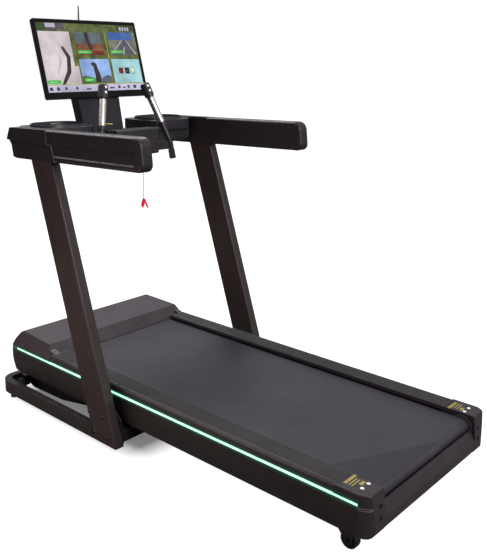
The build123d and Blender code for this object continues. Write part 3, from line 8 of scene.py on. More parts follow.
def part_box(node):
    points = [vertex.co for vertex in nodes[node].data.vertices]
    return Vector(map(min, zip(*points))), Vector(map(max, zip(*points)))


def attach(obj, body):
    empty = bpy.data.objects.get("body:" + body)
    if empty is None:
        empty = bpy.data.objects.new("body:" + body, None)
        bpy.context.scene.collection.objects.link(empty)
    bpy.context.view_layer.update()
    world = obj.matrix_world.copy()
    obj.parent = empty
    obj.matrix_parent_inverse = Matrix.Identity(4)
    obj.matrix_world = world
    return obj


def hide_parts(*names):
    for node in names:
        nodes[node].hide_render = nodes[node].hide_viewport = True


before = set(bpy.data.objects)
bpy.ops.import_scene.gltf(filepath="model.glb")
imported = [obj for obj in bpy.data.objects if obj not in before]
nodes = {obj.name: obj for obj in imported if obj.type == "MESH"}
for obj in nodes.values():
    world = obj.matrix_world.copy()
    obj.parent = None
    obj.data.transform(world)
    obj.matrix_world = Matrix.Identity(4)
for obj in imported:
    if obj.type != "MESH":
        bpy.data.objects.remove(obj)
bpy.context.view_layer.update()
MM = 0.001
SIDES = {"left": -1, "right": 1}


def box_mm(node):
    """A CAD node's lowest and highest corners at rest, in millimetres."""
    return [[round(value / MM, 2) for value in corner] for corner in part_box(node)]


# ---------------------------------------------------------------- camera
YAW = math.radians(48.67)
PITCH = math.radians(11.28)
ROLL = math.radians(0.60)
CAMERA_PLACE = (-1.9904, -1.8389, 1.3912)
SENSOR_WIDTH = 36
FOCAL_LENGTH = 49.27
FRAME_SHIFT = -0.134
forward = Vector((math.sin(YAW) * math.cos(PITCH), math.cos(YAW) * math.cos(PITCH), -math.sin(PITCH)))
level_right = Vector((math.cos(YAW), -math.sin(YAW), 0))
level_up = level_right.cross(forward)
cam_right = level_right * math.cos(ROLL) + level_up * math.sin(ROLL)
cam_up = -level_right * math.sin(ROLL) + level_up * math.cos(ROLL)
camera_data = bpy.data.cameras.new("camera")
camera_data.sensor_width = SENSOR_WIDTH
camera_data.lens = FOCAL_LENGTH
camera_data.shift_y = FRAME_SHIFT
camera_data.clip_end = 60
camera = bpy.data.objects.new("camera", camera_data)
camera_turn = Matrix((cam_right, cam_up, -forward)).transposed().to_4x4()
camera.matrix_world = Matrix.Translation(CAMERA_PLACE) @ camera_turn
bpy.context.scene.collection.objects.link(camera)
bpy.context.scene.camera = camera


# ---------------------------------------------------------------- material kit
def srgb(red, green, blue):
    """A display colour, 0 to 255 a channel, as the linear colour that shaders take."""
    return tuple(((value / 255 + 0.055) / 1.055) ** 2.4 for value in (red, green, blue))


def new_material(name):
    """A material with one shader, ready for its nodes."""
    material = bpy.data.materials.new(name)
    material.use_nodes = True
    tree = material.node_tree
    tree.nodes.clear()
    shader = tree.nodes.new("ShaderNodeBsdfPrincipled")
    output = tree.nodes.new("ShaderNodeOutputMaterial")
    tree.links.new(shader.outputs["BSDF"], output.inputs["Surface"])
    return material, tree, shader


def object_coords(tree, scale=(1, 1, 1)):
    """Places on the object, stretched along each axis by the scale."""
    coords = tree.nodes.new("ShaderNodeTexCoord")
    mapping = tree.nodes.new("ShaderNodeMapping")
    mapping.inputs["Scale"].default_value = scale
    tree.links.new(coords.outputs["Object"], mapping.inputs["Vector"])
    return mapping.outputs["Vector"]


def noise(tree, vector, scale, detail=3.0, roughness=0.55):
    """Soft random patches, about 0.3 to 0.7."""
    node = tree.nodes.new("ShaderNodeTexNoise")
    node.inputs["Scale"].default_value = scale
    node.inputs["Detail"].default_value = detail
    node.inputs["Roughness"].default_value = roughness
    tree.links.new(vector, node.inputs["Vector"])
    return node.outputs["Fac"]


def remap(tree, value, low, high, out_low, out_high):
    """The value moved from one range to another, and kept inside the second."""
    node = tree.nodes.new("ShaderNodeMapRange")
    node.inputs["From Min"].default_value = low
    node.inputs["From Max"].default_value = high
    node.inputs["To Min"].default_value = out_low
    node.inputs["To Max"].default_value = out_high
    tree.links.new(value, node.inputs["Value"])
    return node.outputs["Result"]


def blend_colours(tree, factor, first, second):
    """The first colour where the factor is 0, the second where it is 1."""
    node = tree.nodes.new("ShaderNodeMix")
    node.data_type = "RGBA"
    tree.links.new(factor, node.inputs["Factor"])
    for socket, value in ((node.inputs[6], first), (node.inputs[7], second)):
        if hasattr(value, "links"):
            tree.links.new(value, socket)
        else:
            socket.default_value = (*value, 1)
    return node.outputs[2]


def arithmetic(tree, operation, first, second=0.0, third=0.0):
    """One sum on up to three values, each a number or another node's output."""
    node = tree.nodes.new("ShaderNodeMath")
    node.operation = operation
    for socket, value in zip(node.inputs, (first, second, third)):
        if hasattr(value, "links"):
            tree.links.new(value, socket)
        else:
            socket.default_value = value
    return node.outputs[0]


def axis_values(tree):
    """The object's x, y and z as three separate values."""
    split = tree.nodes.new("ShaderNodeSeparateXYZ")
    tree.links.new(object_coords(tree), split.inputs["Vector"])
    return split.outputs


def bump(tree, shader, height, strength, distance=0.001):
    """Relief in the shader's normal: the distance is in metres."""
    node = tree.nodes.new("ShaderNodeBump")
    node.inputs["Strength"].default_value = strength
    node.inputs["Distance"].default_value = distance
    tree.links.new(height, node.inputs["Height"])
    tree.links.new(node.outputs["Normal"], shader.inputs["Normal"])


strips_low, strips_high = box_mm("light_strips")
LIGHT_MIDDLE = (strips_low[2] + strips_high[2]) / 2 * MM
LIGHT_HALF = 0.004
LIGHT_REACH = 0.016  # how far over and under the strips' middle their painted glow ends
GLOW_SIDE = 0.352  # how far from the deck's middle the flank painted with their glow starts
GLOW_END = (strips_low[1] - 3.5) * MM
GLOW_FALL = 1.8
# the colour of the glow painted on the flanks
GLOW_COLOUR = (0.004, 0.085, 0.034)


def painted_strip_glow(tree, shader, strength):
    """Painted green glow of the deck's light strips: emission on the deck's flanks, fading above and
    below the strips.
    """
    x, y, z = axis_values(tree)
    away = arithmetic(tree, "ABSOLUTE", arithmetic(tree, "SUBTRACT", z, LIGHT_MIDDLE))
    near = remap(tree, away, LIGHT_HALF, LIGHT_REACH, 1, 0)
    on_flank = arithmetic(tree, "GREATER_THAN", arithmetic(tree, "ABSOLUTE", x), GLOW_SIDE)
    before_end = arithmetic(tree, "GREATER_THAN", y, GLOW_END)
    beside_strip = arithmetic(tree, "MULTIPLY", on_flank, before_end)
    glow = arithmetic(tree, "MULTIPLY", arithmetic(tree, "POWER", near, GLOW_FALL), beside_strip)
    colour = blend_colours(tree, glow, (0, 0, 0), GLOW_COLOUR)
    tree.links.new(colour, shader.inputs["Emission Color"])
    shader.inputs["Emission Strength"].default_value = strength


def moulded(name, dark, light, rough, grain=0.25, grain_scale=900, metal=0.0, glow=0.0, specular=0.4):
    """Moulded plastic or powder coat: fine grain, soft mottling and slightly uneven gloss; glow paints
    the light strips' green glow onto it.
    """
    material, tree, shader = new_material(name)
    vector = object_coords(tree)
    mottle = remap(tree, noise(tree, vector, 9, 4), 0.3, 0.7, 0, 1)
    tree.links.new(blend_colours(tree, mottle, dark, light), shader.inputs["Base Color"])
    smear = remap(tree, noise(tree, vector, 23, 5), 0.3, 0.7, rough - 0.05, rough + 0.06)
    tree.links.new(smear, shader.inputs["Roughness"])
    shader.inputs["Metallic"].default_value = metal
    shader.inputs["Specular IOR Level"].default_value = specular
    bump(tree, shader, noise(tree, vector, grain_scale, 2), grain, 0.0002)
    if glow:
        painted_strip_glow(tree, shader, glow)
    return material


def brushed(name, dark, light, rough, stretch=(1, 1, 60), scale=30):
    """Metal with fine drawn lines."""
    material, tree, shader = new_material(name)
    lines = noise(tree, object_coords(tree, stretch), scale, 4)
    tree.links.new(blend_colours(tree, lines, dark, light), shader.inputs["Base Color"])
    tree.links.new(remap(tree, lines, 0.3, 0.7, rough - 0.06, rough + 0.1), shader.inputs["Roughness"])
    shader.inputs["Metallic"].default_value = 1
    bump(tree, shader, lines, 0.15, 0.0002)
    return material


def rubber(name, dark, light, rough=0.6):
    """Moulded rubber with a little dust in its grain."""
    material, tree, shader = new_material(name)
    vector = object_coords(tree)
    dust = remap(tree, noise(tree, vector, 40, 6, 0.7), 0.45, 0.75, 0, 1)
    tree.links.new(blend_colours(tree, dust, dark, light), shader.inputs["Base Color"])
    tree.links.new(remap(tree, dust, 0, 1, rough - 0.05, rough + 0.1), shader.inputs["Roughness"])
    shader.inputs["Specular IOR Level"].default_value = 0.35
    bump(tree, shader, noise(tree, vector, 700, 3), 0.3, 0.0003)
    return material


STRIP_LIGHT = 1.35
SCREEN_LIGHT = 0.55
UNLIT = 0.4  # how dark the picture is with the screen's light off


def picture(name, dark, light, scale=30.0, stretch=(1, 1, 1)):
    """A lit area of the screen, between two colours."""
    material, tree, shader = new_material(name)
    patches = remap(tree, noise(tree, object_coords(tree, stretch), scale, 4), 0.32, 0.68, 0, 1)
    colour = blend_colours(tree, patches, dark, light)
    shade = tuple(value * UNLIT for value in dark)
    tree.links.new(blend_colours(tree, patches, shade, dark), shader.inputs["Base Color"])
    tree.links.new(colour, shader.inputs["Emission Color"])
    shader.inputs["Emission Strength"].default_value = SCREEN_LIGHT
    tree.links.new(remap(tree, patches, 0, 1, 0.24, 0.3), shader.inputs["Roughness"])
    shader.inputs["Specular IOR Level"].default_value = 0.25
    bump(tree, shader, patches, 0.02, 0.0001)
    return material


# ---------------------------------------------------------------- materials of the CAD nodes
looks = {
    "base_side_rails": moulded(
        "frame_coat", srgb(24, 19, 20), srgb(33, 27, 28), 0.34, 0.3, 1400, specular=0.5
    ),
    "base_feet": rubber("foot_rubber", (0.01, 0.01, 0.01), (0.03, 0.03, 0.03)),
    "left_upright": moulded(
        "upright_coat", srgb(36, 28, 27), srgb(45, 35, 33), 0.34, 0.3, 1400, specular=0.4
    ),
    "left_handrail": moulded("handrail_shell", srgb(22, 17, 18), srgb(29, 23, 24), 0.4, specular=0.4),
    "console_body": moulded("console_plastic", srgb(32, 30, 32), srgb(41, 38, 41), 0.5, 0.5),
    "console_trays": moulded("tray_plastic", srgb(34, 33, 37), srgb(44, 42, 47), 0.42, 0.4),
    "screen_neck": moulded("neck_shell", srgb(26, 24, 29), srgb(34, 31, 37), 0.45, 0.15, specular=0.3),
    "screen_bezel": moulded("bezel_gloss", srgb(14, 11, 12), srgb(20, 16, 17), 0.3, 0.02, specular=0.12),
    "screen_housing": moulded("housing_plastic", srgb(30, 29, 30), srgb(38, 36, 38), 0.5, 0.5),
    "grip_tubes": moulded("grip_tube_coat", srgb(28, 27, 29), srgb(35, 33, 36), 0.35),
    "grip_heads": moulded("grip_head_plastic", srgb(30, 29, 31), srgb(38, 36, 39), 0.4),
    "grip_sleeves": brushed("sleeve_steel", (0.58, 0.54, 0.50), (0.68, 0.64, 0.60), 0.3),
    "left_button_lower": moulded("button_white", (0.8, 0.8, 0.81), (0.88, 0.88, 0.89), 0.35),
    "key_socket": moulded("socket_plastic", (0.006, 0.006, 0.007), (0.01, 0.01, 0.011), 0.4),
    "safety_key": moulded("key_red", (0.5, 0.008, 0.008), (0.58, 0.012, 0.01), 0.32, 0.1),
    "clip_lever": moulded("clip_red", (0.80, 0.010, 0.035), (0.90, 0.02, 0.05), 0.3, 0.1),
    "antenna": moulded("antenna_plastic", srgb(40, 38, 40), srgb(52, 50, 52), 0.4),
    "lift_actuator": moulded(
        "actuator_cast", (0.25, 0.25, 0.26), (0.34, 0.34, 0.35), 0.45, 0.6, 500, metal=1.0
    ),
    "lift_screw": brushed("screw_steel", (0.4, 0.4, 0.41), (0.6, 0.6, 0.61), 0.3, (1, 60, 1)),
    "upright_bolts": brushed("black_zinc", (0.03, 0.03, 0.033), (0.07, 0.07, 0.075), 0.35),
    "deck_side_rails": moulded("inner_coat", srgb(28, 27, 29), srgb(36, 34, 36), 0.5),
    "deck_cushions": rubber("cushion_rubber", (0.01, 0.01, 0.01), (0.02, 0.02, 0.02)),
    "running_board": moulded("board_facing", (0.012, 0.010, 0.009), (0.02, 0.017, 0.015), 0.5),
    # the skirts, foot rails, hood and end caps below carry the strips' painted glow
    "left_skirt": moulded(
        "skirt_coat", srgb(22, 17, 18), srgb(29, 23, 24), 0.38, 0.3, 1400, glow=1.0, specular=0.45
    ),
    "foot_rails": moulded(
        "foot_rail_plastic", srgb(32, 28, 31), srgb(40, 36, 39), 0.4, 0.5, glow=1.0, specular=0.5
    ),
    "hood": moulded("hood_plastic", srgb(48, 43, 46), srgb(58, 52, 55), 0.46, 0.5, glow=1.0),
    "front_apron": moulded("apron_plastic", srgb(30, 29, 31), srgb(37, 36, 38), 0.5, 0.5),
    "left_end_cap": moulded(
        "end_cap_plastic", srgb(27, 23, 26), srgb(36, 31, 34), 0.4, 0.5, glow=1.0, specular=0.5
    ),
    "rear_cross_cover": moulded(
        "cross_cover_plastic", srgb(34, 30, 33), srgb(42, 38, 41), 0.38, 0.5, specular=0.35
    ),
    "wheel_forks": moulded("fork_coat", srgb(30, 29, 31), srgb(38, 37, 39), 0.45),
    "drive_motor": moulded("motor_enamel", (0.03, 0.03, 0.033), (0.045, 0.045, 0.05), 0.35),
    "motor_rotor": brushed("rotor_steel", (0.3, 0.3, 0.31), (0.5, 0.5, 0.51), 0.35, (60, 1, 1)),
    "front_roller": brushed("roller_steel", (0.4, 0.4, 0.41), (0.6, 0.6, 0.61), 0.3, (60, 1, 1)),
    "drive_belt": rubber("drive_belt_rubber", (0.01, 0.01, 0.01), (0.02, 0.02, 0.02)),
    "motor_controller": brushed(
        "controller_aluminium", (0.5, 0.5, 0.52), (0.65, 0.65, 0.67), 0.4, (1, 60, 1)
    ),
    "power_panel": moulded("power_plastic", (0.006, 0.006, 0.007), (0.01, 0.01, 0.011), 0.4),
    "power_rocker": moulded("rocker_red", (0.35, 0.01, 0.01), (0.42, 0.015, 0.015), 0.3),
    "left_front_wheel": rubber("wheel_rubber", (0.009, 0.009, 0.009), (0.02, 0.02, 0.02), 0.5),
}
SAME_LOOK = {
    "base_side_rails": ("base_cross_tubes", "lift_frame"),
    "left_upright": ("right_upright",),
    "left_handrail": ("right_handrail", "handrail_front_covers"),
    "left_button_lower": ("left_button_upper", "right_button_lower", "right_button_upper"),
    "clip_lever": ("clip_jaw",),
    "console_body": ("phone_rest",),
    "upright_bolts": ("end_cap_screws",),
    "deck_side_rails": ("deck_crossmembers",),
    "left_skirt": ("right_skirt",),
    "left_end_cap": ("right_end_cap",),
    "front_roller": ("rear_roller",),
    "left_front_wheel": ("right_front_wheel", "left_rear_wheel", "right_rear_wheel"),
}
for first, others in SAME_LOOK.items():
    for other in others:
        looks[other] = looks[first]

# the two ends of the belt's splice, as x and y, and a height between the belt's two runs
SPLICE_START = (-0.244, -0.675)
SPLICE_END = (0.096, -0.843)
BETWEEN_RUNS = 0.19
LAP_COLOUR = srgb(26, 24, 29)


def running_belt_look():
    """Rubber with a fine diamond grain and faint scuffs, a shade darker behind its diagonal splice."""
    material, tree, shader = new_material("belt_rubber")
    vector = object_coords(tree)
    scuff = remap(tree, noise(tree, vector, 4, 6, 0.6), 0.35, 0.75, 0, 1)
    colour = blend_colours(tree, scuff, srgb(37, 35, 41), srgb(46, 43, 50))
    x, y, z = axis_values(tree)
    run = SPLICE_END[0] - SPLICE_START[0]
    drop = (SPLICE_END[1] - SPLICE_START[1]) / run
    line = arithmetic(tree, "MULTIPLY_ADD", x, drop, SPLICE_START[1] - drop * SPLICE_START[0])
    past = arithmetic(tree, "SUBTRACT", line, y)
    behind = remap(tree, past, 0, 0.0015, 0, 1)
    on_top = arithmetic(tree, "GREATER_THAN", z, BETWEEN_RUNS)
    lap = arithmetic(tree, "MULTIPLY", behind, on_top)
    darkened = blend_colours(tree, arithmetic(tree, "MULTIPLY", lap, 0.7), colour, LAP_COLOUR)
    tree.links.new(darkened, shader.inputs["Base Color"])
    smear = remap(tree, noise(tree, vector, 11, 6, 0.6), 0.3, 0.7, 0.42, 0.54)
    dulled = arithmetic(tree, "ADD", smear, arithmetic(tree, "MULTIPLY", lap, 0.12))
    tree.links.new(dulled, shader.inputs["Roughness"])
    shader.inputs["Specular IOR Level"].default_value = 0.4
    grain = tree.nodes.new("ShaderNodeTexVoronoi")
    grain.inputs["Scale"].default_value = 420
    tree.links.new(vector, grain.inputs["Vector"])
    diamonds = arithmetic(tree, "MULTIPLY", grain.outputs["Distance"], 0.5)
    bump(tree, shader, arithmetic(tree, "ADD", diamonds, behind), 0.3, 0.0004)
    return material


def light_look():
    """The strips' milky diffuser, lit green from inside."""
    material, tree, shader = new_material("light_diffuser")
    cells = remap(tree, noise(tree, object_coords(tree), 30, 2), 0.3, 0.7, 0, 1)
    colour = blend_colours(tree, cells, (0.40, 1.0, 0.60), (0.46, 1.0, 0.66))
    tree.links.new(colour, shader.inputs["Base Color"])
    tree.links.new(colour, shader.inputs["Emission Color"])
    tree.links.new(remap(tree, cells, 0, 1, 0.35, 0.45), shader.inputs["Roughness"])
    bump(tree, shader, cells, 0.05, 0.0002)
    shader.inputs["Emission Strength"].default_value = STRIP_LIGHT
    return material


looks["running_belt"] = running_belt_look()
looks["light_strips"] = light_look()
looks["display_panel"] = picture("leafy_background", srgb(66, 78, 40), srgb(128, 134, 78), 26)
for node_name, look in looks.items():
    node = nodes[node_name]
    for index in range(max(1, len(node.material_slots))):
        if node.material_slots:
            node.material_slots[index].material = look
        else:
            node.data.materials.append(look)

# ---------------------------------------------------------------- lanyard
CORD_DIAMETER = 2.6 * MM
cord_curve = bpy.data.curves.new("lanyard", "CURVE")
cord_curve.dimensions = "3D"
cord_curve.bevel_depth = CORD_DIAMETER / 2
cord_curve.bevel_resolution = 4
cord_curve.use_fill_caps = True
cord_points = [(9, 459, 1006), (9, 452, 990), (9, 452, 972.5), (9, 452, 812)]
cord_spline = cord_curve.splines.new("NURBS")
cord_spline.points.add(len(cord_points) - 1)
for point, place in zip(cord_spline.points, cord_points):
    point.co = (*(value * MM for value in place), 1)
cord_spline.order_u = 3
cord_spline.use_endpoint_u = True
cord_spline.resolution_u = 24
cord = bpy.data.objects.new("lanyard", cord_curve)
bpy.context.scene.collection.objects.link(cord)
cord_look, cord_tree, cord_shader = new_material("lanyard_weave")
twist = cord_tree.nodes.new("ShaderNodeTexWave")
twist.bands_direction = "DIAGONAL"
twist.inputs["Scale"].default_value = 380
cord_tree.links.new(object_coords(cord_tree), twist.inputs["Vector"])
strands = twist.outputs["Fac"]
cord_colour = blend_colours(cord_tree, strands, (0.5, 0.03, 0.05), (0.72, 0.10, 0.13))
cord_tree.links.new(cord_colour, cord_shader.inputs["Base Color"])
cord_tree.links.new(remap(cord_tree, strands, 0, 1, 0.7, 0.85), cord_shader.inputs["Roughness"])
bump(cord_tree, cord_shader, strands, 0.4, 0.0003)
cord_curve.materials.append(cord_look)
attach(cord, "safety_key")
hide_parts("lanyard_cord")

# ---------------------------------------------------------------- piece kit


def add_piece(name, bm, look, body, smooth=False):
    """Turn the mesh, in millimetres, into a piece that rides on a body."""
    bmesh.ops.recalc_face_normals(bm, faces=bm.faces)
    bmesh.ops.scale(bm, vec=(MM, MM, MM), verts=bm.verts)
    for face in bm.faces:
        face.smooth = smooth
    mesh = bpy.data.meshes.new(name)
    bm.to_mesh(mesh)
    bm.free()
    mesh.materials.append(look)
    piece = bpy.data.objects.new(name, mesh)
    bpy.context.scene.collection.objects.link(piece)
    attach(piece, body)
    return piece


def prism(bm, outline, place, low, high):
    """Add a closed prism: place(u, v, w) gives the position, w running from low to high."""
    rings = [[bm.verts.new(place(u, v, w)) for u, v in outline] for w in (low, high)]
    bm.faces.new(rings[0])
    bm.faces.new(rings[1])
    count = len(outline)
    for index in range(count):
        after = (index + 1) % count
        bm.faces.new((rings[0][index], rings[0][after], rings[1][after], rings[1][index]))


def block(bm, low, high):
    """Add a box between two opposite corners."""
    outline = [(low[0], low[1]), (high[0], low[1]), (high[0], high[1]), (low[0], high[1])]
    prism(bm, outline, along_z, low[2], high[2])


def along_y(u, v, w):
    """Drawn across the deck: u is x, v is z, and the prism runs along y."""
    return Vector((u, w, v))


def along_x(u, v, w):
    """Drawn on the deck's side: u is y, v is z, and the prism runs along x."""
    return Vector((w, u, v))


def along_z(u, v, w):
    """Drawn on the floor plan: u is x, v is y, and the prism runs up."""
    return Vector((u, v, w))


def circle(centre, radius, segments=20):
    """An outline of a round shape."""
    turns = [2 * math.pi * index / segments for index in range(segments)]
    return [(centre[0] + radius * math.cos(turn), centre[1] + radius * math.sin(turn)) for turn in turns]


def wire(bm, points, radius, segments=8):
    """Add a round wire through the points."""
    section = [Vector((*spot, 0)) for spot in circle((0, 0), radius, segments)]
    rings = []
    for index, point in enumerate(points):
        ahead = points[min(index + 1, len(points) - 1)] - points[max(index - 1, 0)]
        turn = ahead.to_track_quat("Z", "Y")
        rings.append([bm.verts.new(point + turn @ spot) for spot in section])
    bm.faces.new(rings[0])
    bm.faces.new(rings[-1])
    for first, second in zip(rings, rings[1:]):
        for k in range(segments):
            after = (k + 1) % segments
            bm.faces.new((first[k], first[after], second[after], second[k]))


# ---------------------------------------------------------------- foot rails
INSERT_REAR = -760
INSERT_FRONT = 584
INSERT_INNER = 288.5
INSERT_OUTER = 347.5
BORDER_XS = (285.6, 350.4)
RAIL_TOP = box_mm("foot_rails")[1][2]
SEAT_GAP = 0.02  # how far over the rail's top a piece starts, so that the two faces don't coincide
RIDGES = 22
RIDGE_PITCH = (INSERT_OUTER - INSERT_INNER) / RIDGES
RIDGE_START = 0.05
GROOVE_RISE = 0.8
CREST_RISE = 1.5
BEAD = ((-1.7, SEAT_GAP), (-1.3, 0.8), (-0.6, 1.2), (0.6, 1.2), (1.3, 0.8), (1.7, SEAT_GAP))
# each stripe of the decals: its front and rear end, then its inner and outer side
STRIPES = (
    (-768, -778, 283.5, 340),
    (-784, -788, 296, 340),
    (-794, -798, 296, 340),
    (-804, -816, 296, 318),
)
DOTS = ((297, -824), (329, -824))
DOT_RADIUS = 5.6
DECAL_THICKNESS = 0.35
insert_look = moulded("ribbed_insert", srgb(31, 29, 28), srgb(38, 36, 34), 0.55, 0.5)
border_look = moulded("insert_border", srgb(52, 49, 50), srgb(62, 58, 59), 0.4, 0.3)
mark_look = moulded("olive_mark", srgb(128, 116, 52), srgb(142, 128, 62), 0.5, 0.2)
pale_look = moulded("pale_mark", srgb(226, 222, 218), srgb(240, 238, 234), 0.45, 0.1)
for name, side in SIDES.items():
    bm = bmesh.new()
    profile = [(side * INSERT_INNER, RAIL_TOP + SEAT_GAP)]
    for index in range(RIDGES):
        start = INSERT_INNER + RIDGE_PITCH * index
        profile.append((side * (start + RIDGE_START), RAIL_TOP + GROOVE_RISE))
        profile.append((side * (start + RIDGE_PITCH * 0.3), RAIL_TOP + CREST_RISE))
        profile.append((side * (start + RIDGE_PITCH * 0.6), RAIL_TOP + CREST_RISE))
        profile.append((side * (start + RIDGE_PITCH * 0.95), RAIL_TOP + GROOVE_RISE))
    profile.append((side * INSERT_OUTER, RAIL_TOP + SEAT_GAP))
    prism(bm, profile, along_y, INSERT_REAR, INSERT_FRONT)
    add_piece(f"{name}_rail_insert", bm, insert_look, "deck")

    bm = bmesh.new()
    for middle in BORDER_XS:
        bead = [(side * (middle + offset), RAIL_TOP + rise) for offset, rise in BEAD]
        prism(bm, bead, along_y, INSERT_REAR - 2, INSERT_FRONT + 2)
    add_piece(f"{name}_rail_borders", bm, border_look, "deck")

    bm = bmesh.new()
    for start, end, inner, outer in STRIPES:
        low, high = sorted((side * inner, side * outer))
        block(bm, (low, end, RAIL_TOP), (high, start, RAIL_TOP + DECAL_THICKNESS))
    add_piece(f"{name}_cap_stripes", bm, mark_look, "deck")
    bm = bmesh.new()
    for x, y in DOTS:
        prism(bm, circle((side * x, y), DOT_RADIUS), along_z, RAIL_TOP, RAIL_TOP + DECAL_THICKNESS)
    add_piece(f"{name}_cap_dots", bm, pale_look, "deck")

# ---------------------------------------------------------------- hood corner mouldings
HOOD_FOOT = ((624, 217), (624, 229), (612, 227.5), (588, 219.5), (574, 217))
HOOD_FOOT_INNER = 322
HOOD_FOOT_OUTER = 348
# a dark disc on each moulding paints the shade inside its small hole
HOOD_HOLE = (336, 599)
HOOD_HOLE_RADIUS = 3.0
HOOD_HOLE_HEIGHTS = (221, 224.2)
for name, side in SIDES.items():
    bm = bmesh.new()
    low, high = sorted((side * HOOD_FOOT_INNER, side * HOOD_FOOT_OUTER))
    prism(bm, HOOD_FOOT, along_x, low, high)
    bmesh.ops.bevel(bm, geom=bm.edges[:], offset=1.2, segments=2, affect="EDGES")
    add_piece(f"{name}_hood_foot", bm, looks["hood"], "deck")
    bm = bmesh.new()
    shade_disc = circle((side * HOOD_HOLE[0], HOOD_HOLE[1]), HOOD_HOLE_RADIUS)
    prism(bm, shade_disc, along_z, *HOOD_HOLE_HEIGHTS)
    add_piece(f"{name}_hood_foot_hole_shade", bm, looks["upright_bolts"], "deck")

# ---------------------------------------------------------------- rear end
cap_low, cap_high = box_mm("right_end_cap")
ROLLER_COVER = (-823, 172)
ROLLER_COVER_RADIUS = 37
ROLLER_COVER_FACES = (cap_low[0] - 3.4, cap_low[0] - 0.1)
CAP_CORNER_RADIUS = 46
CAP_CORNER = (cap_high[0] - CAP_CORNER_RADIUS, -830)  # the middle of the rounding at the outer corner
BEAD_HEIGHTS = (171, 177)
SEAM_WIRE = 0.9
# a pale colour for thin beads that paint highlights along edges and seams
highlight_bead_look = moulded("painted_highlight_bead", srgb(92, 86, 88), srgb(108, 100, 102), 0.35, 0.1)
cover_look = moulded("bearing_cover", srgb(44, 40, 46), srgb(56, 51, 58), 0.34, 0.3)
for name, side in SIDES.items():
    bm = bmesh.new()
    low, high = sorted(side * face for face in ROLLER_COVER_FACES)
    prism(bm, circle(ROLLER_COVER, ROLLER_COVER_RADIUS, 48), along_x, low, high)
    bmesh.ops.bevel(bm, geom=bm.edges[:], offset=1.0, segments=2, affect="EDGES")
    add_piece(f"{name}_roller_cover", bm, cover_look, "deck")
    # pale wire beads round each cap's corner, at two heights, paint the highlights of its step lines
    bm = bmesh.new()
    for height in BEAD_HEIGHTS:
        corner = []
        for degrees in range(0, 61, 5):
            turn = math.radians(degrees)
            outward = CAP_CORNER[0] + CAP_CORNER_RADIUS * math.cos(turn)
            rearward = CAP_CORNER[1] - CAP_CORNER_RADIUS * math.sin(turn)
            corner.append(Vector((side * outward, rearward, height)))
        wire(bm, corner, SEAM_WIRE)
    add_piece(f"{name}_cap_highlight_beads", bm, highlight_bead_look, "deck", smooth=True)

# ---------------------------------------------------------------- handrail seams: pale wires that paint a highlight along each seam
SEAM = ((417, 1003.2), (434, 1063), (460, 1063), (467, 1113.8))
SEAM_X = box_mm("handrail_front_covers")[1][0] - 0.5
for name, side in SIDES.items():
    bm = bmesh.new()
    wire(bm, [Vector((side * SEAM_X, y, z)) for y, z in SEAM], SEAM_WIRE)
    add_piece(f"{name}_handrail_seam_highlight", bm, highlight_bead_look, "base")

# ---------------------------------------------------------------- wheel axle nuts
wheel_low, wheel_high = box_mm("right_rear_wheel")
WHEEL_X, *REAR_AXLE = [(low + high) / 2 for low, high in zip(wheel_low, wheel_high)]
FORK_HALF = 17
NUT_DEPTH = 4.2
NUT_RADIUS = 8.2
AXLE_RADIUS = 4.2
AXLE_REACH = 6
for name, side in SIDES.items():
    bm = bmesh.new()
    for face in (-1, 1):
        start = side * WHEEL_X + face * FORK_HALF
        low, high = sorted((start, start + face * NUT_DEPTH))
        prism(bm, circle(REAR_AXLE, NUT_RADIUS, 6), along_x, low, high)
        low, high = sorted((start + face * NUT_DEPTH, start + face * AXLE_REACH))
        prism(bm, circle(REAR_AXLE, AXLE_RADIUS, 12), along_x, low, high)
    add_piece(f"{name}_axle_nuts", bm, looks["upright_bolts"], "deck")

# ---------------------------------------------------------------- console
# two pale pads on the left tray's floor paint the small highlight spot on its rim
TRAY_HIGHLIGHT_PADS = ((-234.5, 712), (-220.6, 712))
TRAY_FLOOR = 1108
PAD_RADIUS = 4.4
PAD_HEIGHT = 1.4
bm = bmesh.new()
for pad in TRAY_HIGHLIGHT_PADS:
    prism(bm, circle(pad, PAD_RADIUS, 14), along_z, TRAY_FLOOR, TRAY_FLOOR + PAD_HEIGHT)
add_piece("tray_highlight_pads", bm, pale_look, "base")

SCREEN_FOOT = (694.5, 1204.8)  # y and z of the screen's front face at its lower edge
PANEL_DEPTH = 1  # how far the lit panel lies behind that face
SCREEN_TILT = math.radians(15.9)
TILT_SIN = math.sin(SCREEN_TILT)
TILT_COS = math.cos(SCREEN_TILT)


def on_screen(x, up, out):
    """A place over the lit panel: x across, up the screen, out towards the user."""
    rise = out - PANEL_DEPTH
    y = SCREEN_FOOT[0] + up * TILT_SIN - rise * TILT_COS
    z = SCREEN_FOOT[1] + up * TILT_COS + rise * TILT_SIN
    return Vector((x, y, z))


# a yellow marker line on the neck's user side, which lies this far out from the lit panel
NECK_FACE = -16
NECK_MARK = ((9, -107), (44, -110), (44, -113.4), (9, -110.4))
NECK_MARK_THICKNESS = 0.5
bm = bmesh.new()
prism(bm, NECK_MARK, on_screen, NECK_FACE, NECK_FACE + NECK_MARK_THICKNESS)
mark_yellow = moulded("yellow_mark", srgb(196, 172, 40), srgb(214, 188, 52), 0.5)
add_piece("neck_tick", bm, mark_yellow, "base")

